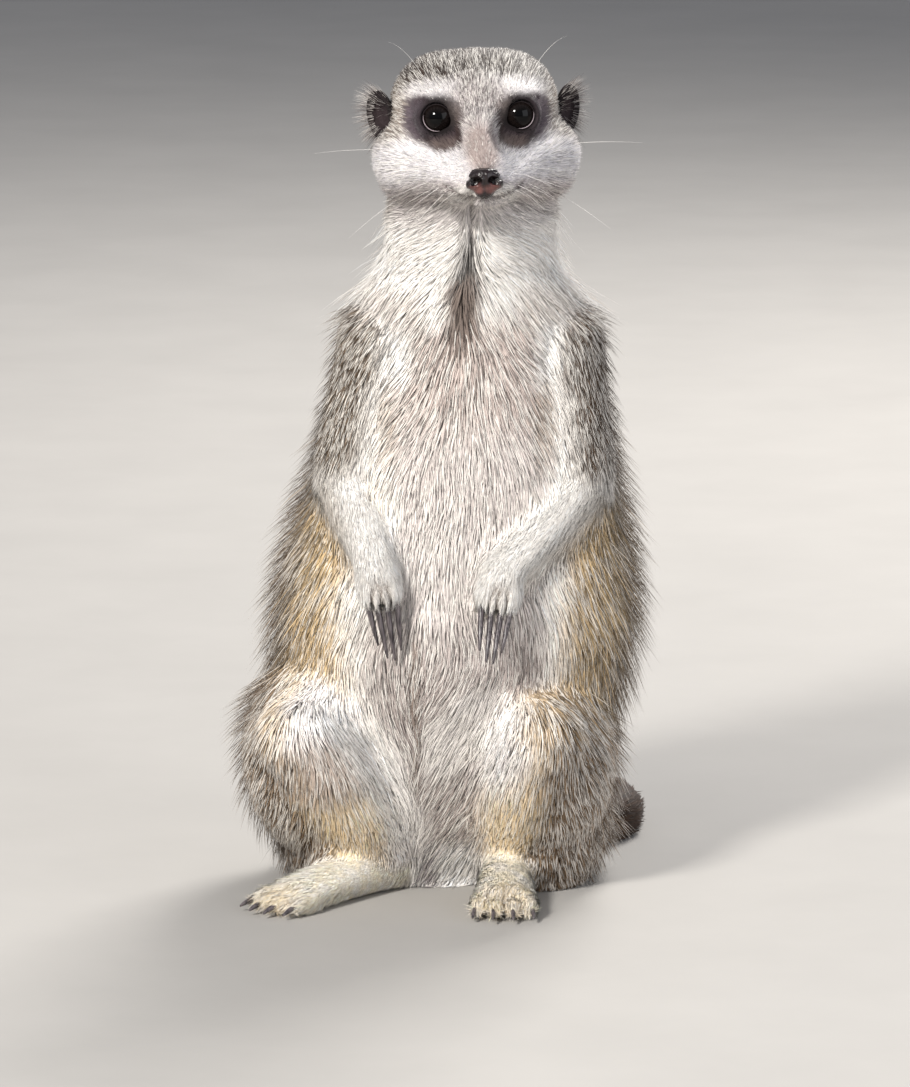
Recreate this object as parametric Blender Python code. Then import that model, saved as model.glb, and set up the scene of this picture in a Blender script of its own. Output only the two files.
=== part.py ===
"""A life-size meerkat that sits upright on its rump, both hind feet flat on the floor.

Run with: blender --background --python part.py

Units: the sizes below are millimetres, and MM turns them into Blender's metres.
Frame: +Z up, -Y the way the chest faces, +X the animal's left. The origin is the middle of
the flat that the rump rests on. Each solid reaches out to the tips of the coat.

The body is made in groups (head, trunk with neck, each foreleg, each hind leg, tail). Each
group is a set of overlapping forms, fused by a voxel remesh and smoothed, then parted by thin
flat cuts into its nodes. Where two groups meet, the lower one is cut clear of the upper one.
"""

import math
from collections import namedtuple

import bmesh
import bpy
from mathutils import Euler, Matrix, Vector

MM = 0.001

# ---------------------------------------------------------------- driving dimensions (mm)
CUT = 0.4  # width of the thin cuts that part one node from the next
CROWN_HEIGHT = 272.5  # floor to the top of the head
HEAD_WIDTH = 65.5  # over the fur of both cheeks
HEAD_LENGTH = 76.0  # nose tip to nape
EYE_SPACING = 25.0  # between the pupils
EYE_RADIUS = 5.5
EAR_HEIGHT = 17.5
NECK_WIDTH = 54.5
HAUNCH_WIDTH = 117.0  # over the fur of both haunches
FORE_CLAW = 18.5  # the longest digging claw, along its curve
FORE_CLAW_SHARES = (0.82, 0.97, 1.0, 0.88)  # of it, for the four claws of a paw from its -X side
HIND_CLAW = 5.5
HIND_FOOT = 62.0  # heel to toe tips, without claws
TAIL_ROOT_RADIUS = 13.0
TAIL_TIP_RADIUS = 4.5

# ---------------------------------------------------------------- where the head sits
HEAD_PLACE = Vector((11.8, -28.0, CROWN_HEIGHT - 25.0))
HEAD_YAW = math.radians(3.0)  # turned to its left
HEAD_ROLL = math.radians(-1.5)  # left side raised
HEAD_FRAME = Matrix.Translation(HEAD_PLACE) @ Euler((0, HEAD_ROLL, HEAD_YAW)).to_matrix().to_4x4()
NOSE_TIP = 18.0 - HEAD_LENGTH  # along the head's own Y: the nape is 18 mm behind its middle

SIDES = {"right": -1, "left": 1}

Ring = namedtuple("Ring", "x y z across deep")  # a cross-section: centre and two half-widths


# ---------------------------------------------------------------- materials
def material(name, colour, roughness):
    """A plain Principled BSDF in the colour and finish of that part of the animal."""
    made = bpy.data.materials.new(name)
    made.use_nodes = True
    shader = made.node_tree.nodes["Principled BSDF"]
    shader.inputs["Base Color"].default_value = (*colour, 1)
    shader.inputs["Roughness"].default_value = roughness
    made.diffuse_color = (*colour, 1)
    return made


# ---------------------------------------------------------------- basic forms
def new_object(name, mesh):
    obj = bpy.data.objects.new(name, mesh)
    bpy.context.scene.collection.objects.link(obj)
    return obj


def mesh_of(name, shape):
    """Ends a bmesh as a mesh, with all faces out."""
    bmesh.ops.recalc_face_normals(shape, faces=shape.faces[:])
    mesh = bpy.data.meshes.new(name)
    shape.to_mesh(mesh)
    shape.free()
    return mesh


def ball(centre, radii, turn=(0, 0, 0), frame=None):
    """An ellipsoid of half-axes radii, turned by degrees about X, Y, Z, in a part's own frame."""
    angles = Euler([math.radians(a) for a in turn])
    place = Matrix.Translation(Vector(centre)) @ angles.to_matrix().to_4x4()
    place = (frame or Matrix.Identity(4)) @ place @ Matrix.Diagonal((*radii, 1))
    shape = bmesh.new()
    bmesh.ops.create_icosphere(shape, subdivisions=3, radius=1, matrix=place)
    bmesh.ops.scale(shape, vec=(MM, MM, MM), verts=shape.verts[:])
    return mesh_of("ball", shape)


def through(rings, t):
    """The ring at t on a smooth curve that passes through each of the rings in turn."""
    last = len(rings) - 1
    i = min(int(t), last - 1)
    f = t - i
    before, start, end, after = (rings[min(max(i + k, 0), last)] for k in (-1, 0, 1, 2))
    blend = [
        0.5 * (2 * b + (c - a) * f + (2 * a - 5 * b + 4 * c - d) * f**2 + (3 * b - a - 3 * c + d) * f**3)
        for a, b, c, d in zip(before, start, end, after)
    ]
    return Ring(*blend)


def limb(rings, across=(1, 0, 0), frame=None, sides=20, steps=5, round_ends=(True, True)):
    """A closed tube through the rings: elliptical sections square to its path, rounded ends.

    across is the direction in which each ring's first half-width is measured.
    """
    frame = frame or Matrix.Identity(4)
    rings = [Ring(*r) for r in rings]
    count = (len(rings) - 1) * steps
    along = [through(rings, i / steps) for i in range(count + 1)]
    centres = [Vector(r[:3]) for r in along]
    sections = []
    for i, ring in enumerate(along):
        tangent = (centres[min(i + 1, count)] - centres[max(i - 1, 0)]).normalized()
        side = Vector(across) - tangent * tangent.dot(Vector(across))
        sections.append((centres[i], tangent, side.normalized(), ring.across, ring.deep))
    cap_turns = [math.radians(a) for a in (68, 45, 22)]

    def cap(section, way):
        centre, tangent, side, wide, deep = section
        bulge = tangent * way * min(wide, deep) * 0.9
        return [
            (centre + bulge * math.sin(a), tangent, side, wide * math.cos(a), deep * math.cos(a))
            for a in cap_turns
        ]

    start = cap(sections[0], -1) if round_ends[0] else []
    end = cap(sections[-1], 1)[::-1] if round_ends[1] else []
    shape = bmesh.new()
    loops = []
    for centre, tangent, side, wide, deep in start + sections + end:
        other = tangent.cross(side)
        turns = [2 * math.pi * k / sides for k in range(sides)]
        points = [centre + side * wide * math.cos(a) + other * deep * math.sin(a) for a in turns]
        loops.append([shape.verts.new(frame @ p * MM) for p in points])
    for lower, upper in zip(loops, loops[1:]):
        for k in range(sides):
            n = (k + 1) % sides
            shape.faces.new((lower[k], lower[n], upper[n], upper[k]))
    shape.faces.new(loops[0])
    shape.faces.new(loops[-1])
    return mesh_of("limb", shape)


# ---------------------------------------------------------------- fusing and cutting
def evaluated(obj):
    """The object's mesh with its modifiers applied. The object itself is removed."""
    bpy.context.view_layer.update()
    graph = bpy.context.evaluated_depsgraph_get()
    mesh = bpy.data.meshes.new_from_object(obj.evaluated_get(graph))
    bpy.data.objects.remove(obj)
    return mesh


def joined(forms):
    shape = bmesh.new()
    for form in forms:
        shape.from_mesh(form)
    mesh = bpy.data.meshes.new("forms")
    shape.to_mesh(mesh)
    shape.free()
    return mesh


def thinned(mesh, triangles):
    obj = new_object("thinning", mesh)
    mesh.calc_loop_triangles()
    decimate = obj.modifiers.new("thin", "DECIMATE")
    decimate.ratio = triangles / len(mesh.loop_triangles)
    decimate.use_collapse_triangulate = True
    return evaluated(obj)


def fused(forms, voxel, rounds, triangles):
    """One smooth closed mesh of overlapping forms, thinned to about that many triangles."""
    obj = new_object("fusing", joined(forms))
    remesh = obj.modifiers.new("fuse", "REMESH")
    remesh.mode = "VOXEL"
    remesh.voxel_size = voxel * MM
    smooth = obj.modifiers.new("melt creases", "SMOOTH")
    smooth.factor = 0.5
    smooth.iterations = rounds
    return thinned(evaluated(obj), triangles)


def side_of(mesh, point, normal, gap=CUT):
    """The part of a mesh on the side that normal points to, closed by a flat face."""
    normal = Vector(normal).normalized()
    shape = bmesh.new()
    shape.from_mesh(mesh)
    found = bmesh.ops.bisect_plane(
        shape,
        geom=shape.verts[:] + shape.edges[:] + shape.faces[:],
        dist=1e-7,
        plane_co=(Vector(point) + normal * gap / 2) * MM,
        plane_no=normal,
        clear_inner=True,
    )
    rim = [e for e in found["geom_cut"] if isinstance(e, bmesh.types.BMEdge) and e.is_boundary]
    bmesh.ops.holes_fill(shape, edges=rim, sides=0)
    return mesh_of("side", shape)


def parted(mesh, point, normal):
    """Both sides of a flat cut: first the one that normal points to."""
    return side_of(mesh, point, normal), side_of(mesh, point, -Vector(normal))


def on_floor(mesh):
    """The mesh with all that is below the floor cut off, which leaves a flat to rest on."""
    return side_of(mesh, (0, 0, 0), (0, 0, 1), gap=0)


def grown(name, mesh, by=CUT):
    """A helper that cuts room for a mesh and a gap round it. It isn't part of the model."""
    obj = new_object("room_for_" + name, mesh.copy())
    obj.hide_render = True
    obj.display_type = "WIRE"
    swell = obj.modifiers.new("gap", "DISPLACE")
    swell.mid_level = 0
    swell.strength = by * MM
    return obj


def node(name, mesh, finish):
    mesh.materials.clear()
    mesh.materials.append(finish)
    mesh.name = name
    mesh.shade_smooth()
    mesh.set_sharp_from_angle(angle=math.radians(50))
    return new_object(name, mesh)


def cut_clear(obj, helpers, triangles=None):
    """Takes the helpers' shapes out of a node, then thins the slivers that the cuts leave."""
    for helper in helpers:
        cut = obj.modifiers.new("clear of " + helper.name, "BOOLEAN")
        cut.operation = "DIFFERENCE"
        cut.object = helper
    if not triangles:
        return
    bpy.context.view_layer.update()
    mesh = obj.evaluated_get(bpy.context.evaluated_depsgraph_get()).to_mesh()
    mesh.calc_loop_triangles()
    ease = obj.modifiers.new("thin slivers", "DECIMATE")
    ease.ratio = min(1, triangles / len(mesh.loop_triangles))
    ease.use_collapse_triangulate = True


# ---------------------------------------------------------------- head
def head_forms():
    """Cranium, brows, cheeks and muzzle, in the head's own frame: -Y to the nose, +Z to the crown."""
    cheek = HEAD_WIDTH / 2
    muzzle = [
        (0, -20, -1, 21, 15),
        (0, -32, -3, 15, 12.5),
        (0, -43, -6.5, 9.5, 9),
        (0, NOSE_TIP + 7, -9.5, 6.8, 6),
    ]
    forms = [
        ball((0, -3, 2), (28, 25, 22.5), frame=HEAD_FRAME),
        ball((0, -17, 6.5), (22, 15.5, 13.5), frame=HEAD_FRAME),
        ball((0, -9, -12), (24, 22, 13), frame=HEAD_FRAME),
        limb(muzzle, frame=HEAD_FRAME),
    ]
    for side in SIDES.values():
        jowl = [
            (side * (cheek - 16), -8, -9, 14.5, 13.5),
            (side * 11.5, -27, -10.5, 10, 9.5),
            (side * 6.2, NOSE_TIP + 14, -12, 6.2, 5.6),
            (side * 4.6, NOSE_TIP + 8, -12.4, 4.6, 4.4),
        ]
        forms += [
            limb(jowl, frame=HEAD_FRAME),
            ball((side * 8.5, -4, 6), (19, 22, 18.2), frame=HEAD_FRAME),
            ball((side * (cheek - 14.5), -9, -9), (14.5, 19, 13.5), (0, side * -8, 0), HEAD_FRAME),
            ball((side * 12.5, -23.8, 12.4), (9, 5.2, 3.8), (0, side * 10, side * 14), HEAD_FRAME),
        ]
    return forms


def neck_form():
    """From the throat down into the shoulders, under the coat of the nape."""
    half = NECK_WIDTH / 2
    return limb(
        [
            (11.5, -25, 236, half - 3, 23),
            (11.2, -24, 222, half - 0.5, 24.5),
            (10.8, -21, 208, half, 26),
            (10.6, -18, 194, half + 7, 28),
            (10.8, -15, 178, half + 10, 30),
        ]
    )


def jaw_form():
    """The lower jaw, from the chin back to below the cheeks."""
    return limb(
        [
            (0, -14, -18.5, 15, 5),
            (0, -30, -18, 10.5, 4.6),
            (0, -44, -17.2, 6, 3.4),
            (0, -48, -16.6, 4.2, 2.6),
        ],
        frame=HEAD_FRAME,
    )


def nose_pad():
    """The bare nose: broad above, narrow below, with a nostril on each side."""
    forms = [
        ball((0, NOSE_TIP + 4.6, -9.4), (5.3, 4.6, 4.2), frame=HEAD_FRAME),
        ball((0, NOSE_TIP + 4.4, -13), (3.0, 3.4, 3.6), frame=HEAD_FRAME),
    ]
    for side in SIDES.values():
        wing = ball((side * 3.1, NOSE_TIP + 4.2, -10.4), (2.9, 3.7, 3.0), frame=HEAD_FRAME)
        forms.append(wing)
    return fused(forms, voxel=0.45, rounds=4, triangles=180)


def nostril(name, side):
    """A helper that hollows one nostril."""
    centre = (side * 3.3, NOSE_TIP + 0.6, -10.8)
    hollow = ball(centre, (1.1, 1.6, 0.8), (0, side * 25, 0), HEAD_FRAME)
    return grown("nostril_" + name, hollow, by=0)


def ear_shell(side):
    """The ear's outer form: a low rounded crescent that faces forward and out."""
    radii = (3.0, 7.8, EAR_HEIGHT / 2)
    return thinned(ball((side * 29.4, -1.5, 3.8), radii, (0, side * 6, side * -28), HEAD_FRAME), 160)


def ear_hollow(name, side):
    """A helper that makes the ear a cup."""
    radii = (2.6, 6.2, EAR_HEIGHT / 2 - 1.9)
    hollow = ball((side * 31.6, -4.0, 3.5), radii, (0, side * 6, side * -28), HEAD_FRAME)
    return grown("ear_hollow_" + name, hollow, by=0)


def eye_place(side):
    return Vector((side * EYE_SPACING / 2, -26.0, 6.2))


def eye(side):
    shape = bmesh.new()
    place = HEAD_FRAME @ Matrix.Translation(eye_place(side))
    bmesh.ops.create_uvsphere(shape, u_segments=14, v_segments=8, radius=EYE_RADIUS, matrix=place)
    bmesh.ops.scale(shape, vec=(MM, MM, MM), verts=shape.verts[:])
    return mesh_of("eye", shape)


def eye_opening(name, side):
    """A helper that opens the lids in front of an eyeball, along its gaze."""
    centre = eye_place(side) + Vector((side * 1.9, -4.6, 0))
    opening = ball(centre, (5.1, 5.4, 4.7), (0, side * -14, side * 22), HEAD_FRAME)
    return grown("eye_opening_" + name, opening, by=0)


# ---------------------------------------------------------------- trunk and tail
def trunk_forms():
    """Rump, belly and chest: the spine leans to the animal's left as it rises."""
    half = HAUNCH_WIDTH / 2
    return [
        limb(
            [
                (0.5, 2, 9, half - 21, 29),
                (1.0, 0, 30, half - 13, 38),
                (2.4, -4, 58, half - 4.5, 43),
                (6.2, -6, 90, half - 1.5, 43.5),
                (8.8, -8, 120, half - 6.5, 40.5),
                (10.2, -11, 148, half - 14, 36),
                (11.0, -14, 172, half - 21, 32),
                (10.8, -17, 190, half - 27, 28),
            ],
            sides=28,
        ),
        ball((3, -20, 80), (38, 32, 48)),
        neck_form(),
    ]


TAIL_PATH = [(1, 20), (14, 33), (34, 38), (52, 41), (61, 55)]
TAIL_PATH += [(61, 79), (52, 103), (34, 121), (12, 131), (-10, 134)]


def tail_form():
    """The tail lies on the floor: out to the animal's left, then round behind it."""
    last = len(TAIL_PATH) - 1
    rings = []
    for i, (x, y) in enumerate(TAIL_PATH):
        radius = TAIL_ROOT_RADIUS + (TAIL_TIP_RADIUS - TAIL_ROOT_RADIUS) * math.sqrt(i / last)
        rings.append((x, y, radius - 0.8, radius, radius))
    return on_floor(thinned(limb(rings, across=(0, 0, 1), sides=12, steps=3), 350))


# ---------------------------------------------------------------- fore and hind legs
Arm = namedtuple("Arm", "shoulder elbow wrist knuckles fan claw_way")
ARMS = {
    "right": Arm(
        shoulder=(-14, -20, 178),
        elbow=(-27.5, -24, 133.5),
        wrist=(-19.5, -49.5, 110.5),
        knuckles=(-18, -53.5, 101.5),
        fan=(0.16, 0.1, -0.99),
        claw_way=(0.16, 0.0, -0.99),
    ),
    "left": Arm(
        shoulder=(36, -20, 178),
        elbow=(45, -25, 132.5),
        wrist=(22, -50.5, 108.5),
        knuckles=(19.5, -55, 100),
        fan=(-0.14, 0.08, -0.99),
        claw_way=(-0.12, -0.52, -0.85),
    ),
}


def between(a, b, share):
    return Vector(a).lerp(Vector(b), share)


def fold(above, bend, below):
    """The normal of the plane that halves a bent limb at its bend, towards the upper bone."""
    up = Vector(above) - Vector(bend)
    down = Vector(below) - Vector(bend)
    return up.normalized() - down.normalized()


def arm_form(arm):
    """Upper arm and forearm, bent at the elbow, with the paw hanging over the belly."""
    upper = [
        (*arm.shoulder, 17, 17),
        (*between(arm.shoulder, arm.elbow, 0.5), 15, 15.5),
        (*between(arm.shoulder, arm.elbow, 0.85), 13.5, 14),
        (*arm.elbow, 12, 12),
    ]
    lower = [
        (*between(arm.elbow, arm.wrist, 0.05), 12, 12),
        (*between(arm.elbow, arm.wrist, 0.35), 11, 10.5),
        (*between(arm.elbow, arm.wrist, 0.7), 9, 8.2),
        (*arm.wrist, 7.5, 6.4),
        (*arm.knuckles, 7.7, 4.8),
    ]
    return [limb(upper), limb(lower)]


def digits(arm):
    """Four toes side by side: the number, the start and the direction of each. The tips close in."""
    along = Vector(arm.fan)
    for k in range(4):
        share = (k - 1.5) / 1.5
        start = Vector(arm.knuckles)
        start += Vector((share * 5.2, -0.3 + abs(share) * 0.9, 0.6 + abs(share) * 1.6))
        yield k + 1, start, (along + Vector((share * -0.10, 0, 0))).normalized()


def fore_claw(arm, k, start, way):
    """A long digging claw, slightly hooked back to the body."""
    base = start + way * 4.6
    length = FORE_CLAW * FORE_CLAW_SHARES[k - 1]
    spread = Vector(((k - 2.5) / 1.5 * -0.08, 0, 0))
    ahead = (Vector(arm.claw_way) + spread).normalized()
    bow = Vector((0, -1, 0))
    rings = [(*(base - way * 2.6), 1.05, 1.4)]
    for share, radius in ((0.3, 1.15), (0.7, 0.8), (1.0, 0.32)):
        point = base + ahead * share * length + bow * 1.4 * math.sin(share * math.pi)
        rings.append((*point, radius * 0.85, radius * 1.15))
    return limb(rings, sides=6, steps=1, round_ends=(False, False))


Leg = namedtuple("Leg", "hip knee ankle heel toes outward")
LEGS = {
    "right": Leg(
        hip=(-27, 4, 44),
        knee=(-44, -48, 56),
        ankle=(-18, -28, 15),
        heel=(-11, -22, 6.5),
        toes=(-52, -64, 4.6),
        outward=-1,
    ),
    "left": Leg(
        hip=(27, 4, 44),
        knee=(33, -52, 56),
        ankle=(24, -26, 15),
        heel=(23, -14, 6.5),
        toes=(21.3, -68, 4.6),
        outward=1,
    ),
}


def leg_forms(leg):
    """Thigh, shank and the haunch of loose coat that hangs over both."""
    out = leg.outward
    haunch = between(leg.hip, leg.knee, 0.42) + Vector((out * 2.5, 2, -5))
    thigh = [
        (*between(leg.hip, leg.knee, 0.1), 22, 27),
        (*between(leg.hip, leg.knee, 0.45), 21.5, 26),
        (*between(leg.hip, leg.knee, 0.8), 18, 20),
        (*leg.knee, 14, 14),
    ]
    shank = [
        (*leg.knee, 14, 13.5),
        (*between(leg.knee, leg.ankle, 0.3), 15.5, 16),
        (*between(leg.knee, leg.ankle, 0.7), 13.5, 15),
        (*leg.ankle, 10.5, 11),
    ]
    return [
        ball(haunch, (25, 38, 35), (14, 0, out * 12)),
        ball(between(leg.hip, leg.ankle, 0.55) + Vector((out * 7, 2, -9)), (23, 32, 26)),
        limb(thigh),
        limb(shank),
    ]


def foot_axes(leg):
    """The foot's forward direction, and the one across it."""
    ahead = Vector(leg.toes) - Vector(leg.heel)
    ahead.z = 0
    ahead.normalize()
    return ahead, Vector((-ahead.y, ahead.x, 0)) * -1


def foot_forms(leg):
    """A long flat foot: heel, instep and four toes."""
    ahead, across = foot_axes(leg)
    heel = Vector(leg.heel)
    sole = [
        (*(heel + ahead * 2), 7.0, 6.8),
        (*(heel + ahead * HIND_FOOT * 0.3 + Vector((0, 0, 1.0))), 8.0, 7.6),
        (*(heel + ahead * HIND_FOOT * 0.6 + Vector((0, 0, -0.6))), 9.6, 6.4),
        (*(heel + ahead * HIND_FOOT * 0.78 + Vector((0, 0, -1.6))), 10.4, 5.2),
    ]
    forms = [limb(sole, across=across)]
    for _, start, way in toes(leg):
        knuckle = start + way * 7 + Vector((0, 0, 0.8))
        tip = start + way * 11
        toe = [(*start, 2.9, 3.6), (*knuckle, 2.8, 3.5), (*tip, 2.3, 2.7)]
        forms.append(limb(toe, across=across))
    return forms


def toes(leg):
    """Four hind toes: number, start and direction of each."""
    ahead, across = foot_axes(leg)
    for k in range(4):
        share = (k - 1.5) / 1.5
        start = Vector(leg.heel) + ahead * (HIND_FOOT - 12.5 - abs(share) * 3.4) + across * share * 7.6
        start.z = 3.3
        yield k + 1, start, (ahead + across * share * 0.12).normalized()


def hind_claw(start, way):
    base = start + way * 12.2
    rings = []
    for share, radius in ((-0.4, 0.95), (0.45, 0.9), (1.0, 0.3)):
        drop = Vector((0, 0, 0.2 - 1.6 * max(share, 0) ** 2))
        rings.append((*(base + way * share * HIND_CLAW + drop), radius * 0.8, radius))
    return limb(rings, across=(way.y, -way.x, 0), sides=6, steps=1, round_ends=(False, False))


# ---------------------------------------------------------------- assembly
def build_head(skin, dark, eye_finish):
    """The head with its jaw, nose, eyes and ears, down to a cut below the cheeks."""
    cut_point = HEAD_FRAME @ Vector((0, 0, -24))
    cut_normal = HEAD_FRAME.to_3x3() @ Vector((0, -0.25, 1))
    whole = fused(head_forms() + [neck_form()], voxel=0.9, rounds=9, triangles=1700)
    head = node("head", side_of(whole, cut_point, cut_normal), skin)
    jaw_mesh = thinned(jaw_form(), 180)
    jaw = node("lower_jaw", side_of(jaw_mesh, cut_point, cut_normal), skin)
    nose_mesh = nose_pad()
    nose = node("nose", nose_mesh, dark)
    cut_clear(nose, [nostril(*each) for each in SIDES.items()], triangles=360)
    room_for_nose = grown("nose", nose_mesh)
    cut_clear(jaw, [room_for_nose])
    rooms = [room_for_nose, grown("lower_jaw", jaw_mesh)]
    for name, side in SIDES.items():
        ear_mesh, eye_mesh = ear_shell(side), eye(side)
        cut_clear(node("ear_" + name, ear_mesh, dark), [ear_hollow(name, side)], triangles=210)
        node("eye_" + name, eye_mesh, eye_finish)
        rooms += [grown("ear_" + name, ear_mesh), grown("eye_" + name, eye_mesh), eye_opening(name, side)]
    cut_clear(head, rooms, triangles=1500)
    return cut_point, cut_normal


def build_arm(name, arm, skin, claw_finish):
    """Upper arm, forearm, paw and four claws. Returns the helpers that cut room for them."""
    forms = arm_form(arm)
    for _, start, way in digits(arm):
        forms.append(limb([(*start, 2.5, 2.6), (*(start + way * 4.5), 2.1, 2.3)], steps=3, sides=10))
    whole = fused(forms, voxel=0.8, rounds=5, triangles=470)
    room = grown("foreleg_" + name, whole)
    upper, rest = parted(whole, arm.elbow, fold(arm.shoulder, arm.elbow, arm.wrist))
    forearm, paw = parted(rest, arm.wrist, Vector(arm.elbow) - Vector(arm.wrist))
    node(f"foreleg_{name}_upper_arm", upper, skin)
    node(f"foreleg_{name}_forearm", forearm, skin)
    paw = node(f"foreleg_{name}_paw", paw, skin)
    rooms = [room]
    for k, start, way in digits(arm):
        claw = fore_claw(arm, k, start, way)
        node(f"foreleg_{name}_claw_{k}", claw, claw_finish)
        rooms.append(grown(f"foreleg_{name}_claw_{k}", claw))
    cut_clear(paw, rooms[1:])
    return rooms


def build_leg(name, leg, skin, claw_finish):
    """Thigh, shank, foot and four claws.

    Returns thigh and shank, the helper that cuts them clear of the foot, and the helpers that
    cut the trunk clear of the whole leg.
    """
    whole = on_floor(fused(leg_forms(leg), voxel=1.3, rounds=8, triangles=430))
    thigh, shank = parted(whole, leg.knee, fold(leg.hip, leg.knee, leg.ankle))
    foot_mesh = on_floor(fused(foot_forms(leg), voxel=0.7, rounds=4, triangles=420))
    room_for_foot = grown(f"hind_foot_{name}", foot_mesh)
    thigh = node(f"hind_leg_{name}_thigh", thigh, skin)
    shank = node(f"hind_leg_{name}_shank", shank, skin)
    foot = node(f"hind_leg_{name}_foot", foot_mesh, skin)
    claw_rooms = []
    for k, start, way in toes(leg):
        claw = hind_claw(start, way)
        node(f"hind_leg_{name}_claw_{k}", claw, claw_finish)
        claw_rooms.append(grown(f"hind_leg_{name}_claw_{k}", claw))
    cut_clear(foot, claw_rooms, triangles=400)
    return [thigh, shank], [room_for_foot], [grown("hind_leg_" + name, whole), room_for_foot]


def build_tail(coat, tip_finish):
    """Three lengths of tail. Returns the helper that cuts room for the root."""
    whole = tail_form()
    room = grown("tail", whole)
    root, rest = parted(whole, (56, 47, 0), (-0.5, -0.87, 0))
    middle, tip = parted(rest, (43, 112, 0), (0.71, -0.7, 0))
    root = node("tail_root", root, coat)
    node("tail_middle", middle, coat)
    node("tail_tip", tip, tip_finish)
    return root, room


def main():
    for obj in list(bpy.data.objects):
        bpy.data.objects.remove(obj)
    coat = material("grizzled_coat", (0.42, 0.34, 0.26), 0.85)
    pale = material("pale_coat", (0.72, 0.67, 0.60), 0.85)
    dark = material("dark_skin", (0.05, 0.04, 0.035), 0.5)
    tail_dark = material("tail_tip_coat", (0.06, 0.04, 0.03), 0.8)
    horn = material("claw_horn", (0.06, 0.05, 0.05), 0.35)
    wet_eye = material("eye", (0.02, 0.012, 0.008), 0.05)

    cut_point, cut_normal = build_head(pale, dark, wet_eye)
    whole = on_floor(fused(trunk_forms(), voxel=1.5, rounds=8, triangles=1000))
    trunk = node("trunk", side_of(whole, (10.8, -20, 203), (0, -0.12, -1)), coat)
    neck = side_of(side_of(whole, (10.8, -20, 203), (0, 0.12, 1)), cut_point, -cut_normal)
    neck = node("neck", neck, pale)
    root, room_for_tail = build_tail(coat, tail_dark)

    rooms = []
    for name, arm in ARMS.items():
        rooms += build_arm(name, arm, pale, horn)
    upper_rooms = [r for r in rooms if "claw" not in r.name]
    haunch_rooms = []
    for name, leg in LEGS.items():
        haunch, foot_room, leg_rooms = build_leg(name, leg, coat, horn)
        for piece in haunch:
            cut_clear(piece, foot_room, triangles=320)
        haunch_rooms += leg_rooms
    cut_clear(trunk, rooms + haunch_rooms + [room_for_tail], triangles=1560)
    cut_clear(neck, upper_rooms, triangles=220)
    cut_clear(root, haunch_rooms, triangles=230)


main()
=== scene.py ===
"""Looks of the life-size sitting meerkat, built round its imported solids.

One skin replaces all nodes of flesh and lies inside them by the coat's depth. The coat is solid
mesh: pointed closed locks, rooted in the skin, that follow the lie of the hair. Skin and coat
take their colours from the same function, markings(). Eyes, nose and claws are separate pieces.

Frame and units: +Z up, -Y the way the chest faces, +X the animal's left. Numbers are
millimetres, and MM turns them into metres. The head has a frame of its own: see in_head().
"""

import math
from collections import namedtuple
from contextlib import contextmanager

import bmesh
import bpy
import numpy as np
from mathutils import Euler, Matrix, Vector
from mathutils.bvhtree import BVHTree
from mathutils.kdtree import KDTree


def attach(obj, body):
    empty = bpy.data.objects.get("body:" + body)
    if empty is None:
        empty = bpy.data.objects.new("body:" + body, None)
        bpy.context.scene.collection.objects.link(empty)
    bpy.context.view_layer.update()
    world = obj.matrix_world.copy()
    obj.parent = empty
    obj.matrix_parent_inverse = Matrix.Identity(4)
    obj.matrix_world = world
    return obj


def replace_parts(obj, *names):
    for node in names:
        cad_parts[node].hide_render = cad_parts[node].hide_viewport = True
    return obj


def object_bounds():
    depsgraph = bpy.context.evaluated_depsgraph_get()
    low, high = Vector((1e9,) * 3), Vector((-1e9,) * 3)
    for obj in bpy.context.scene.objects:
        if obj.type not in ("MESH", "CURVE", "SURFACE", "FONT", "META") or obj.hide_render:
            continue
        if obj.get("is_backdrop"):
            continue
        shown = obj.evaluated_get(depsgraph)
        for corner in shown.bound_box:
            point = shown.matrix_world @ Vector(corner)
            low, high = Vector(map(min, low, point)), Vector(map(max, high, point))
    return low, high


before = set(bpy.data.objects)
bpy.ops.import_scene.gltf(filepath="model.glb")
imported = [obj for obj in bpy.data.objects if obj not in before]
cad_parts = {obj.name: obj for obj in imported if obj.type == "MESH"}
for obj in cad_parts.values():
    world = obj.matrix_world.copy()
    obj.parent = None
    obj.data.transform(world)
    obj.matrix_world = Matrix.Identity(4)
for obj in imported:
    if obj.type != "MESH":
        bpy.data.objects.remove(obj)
CAD_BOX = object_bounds()

MM = 0.001
SIDES = {"right": -1, "left": 1}
ARM_PARTS = ("upper_arm", "forearm", "paw")
LEG_PARTS = ("thigh", "shank", "foot")


def turned(roll, yaw):
    """The matrix of a turn about Y, then about Z (degrees)."""
    return np.array(Euler((0, math.radians(roll), math.radians(yaw))).to_matrix())


# ---------------- places that part.py also names (mm)
HEAD_PLACE = np.array(Vector((11.8, -28, 247.5)))
HEAD_AXES = turned(-1.5, 3)
EYE_PLACE = np.array((12.5, -26.0, 6.2))  # in the head's frame, mirrored for the right eye
EYE_RADIUS = 5.5
Arm = namedtuple("Arm", "shoulder elbow wrist tips")
Leg = namedtuple("Leg", "hip knee ankle heel toes")
RIGHT_ARM = ((-14, -20, 178), (-27.5, -24, 133.5), (-19.5, -49.5, 110.5), (-17, -53, 92))
LEFT_ARM = ((36, -20, 178), (45, -25, 132.5), (22, -50.5, 108.5), (18, -54, 90))
RIGHT_LEG = ((-27, 4, 44), (-44, -48, 56), (-18, -28, 15), (-11, -22, 6.5), (-52, -64, 4.6))
LEFT_LEG = ((27, 4, 44), (33, -52, 56), (24, -26, 15), (23, -14, 6.5), (21.3, -68, 4.6))
ARMS = {"right": Arm(*np.array(RIGHT_ARM)), "left": Arm(*np.array(LEFT_ARM))}
LEGS = {"right": Leg(*np.array(RIGHT_LEG)), "left": Leg(*np.array(LEFT_LEG))}
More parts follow.
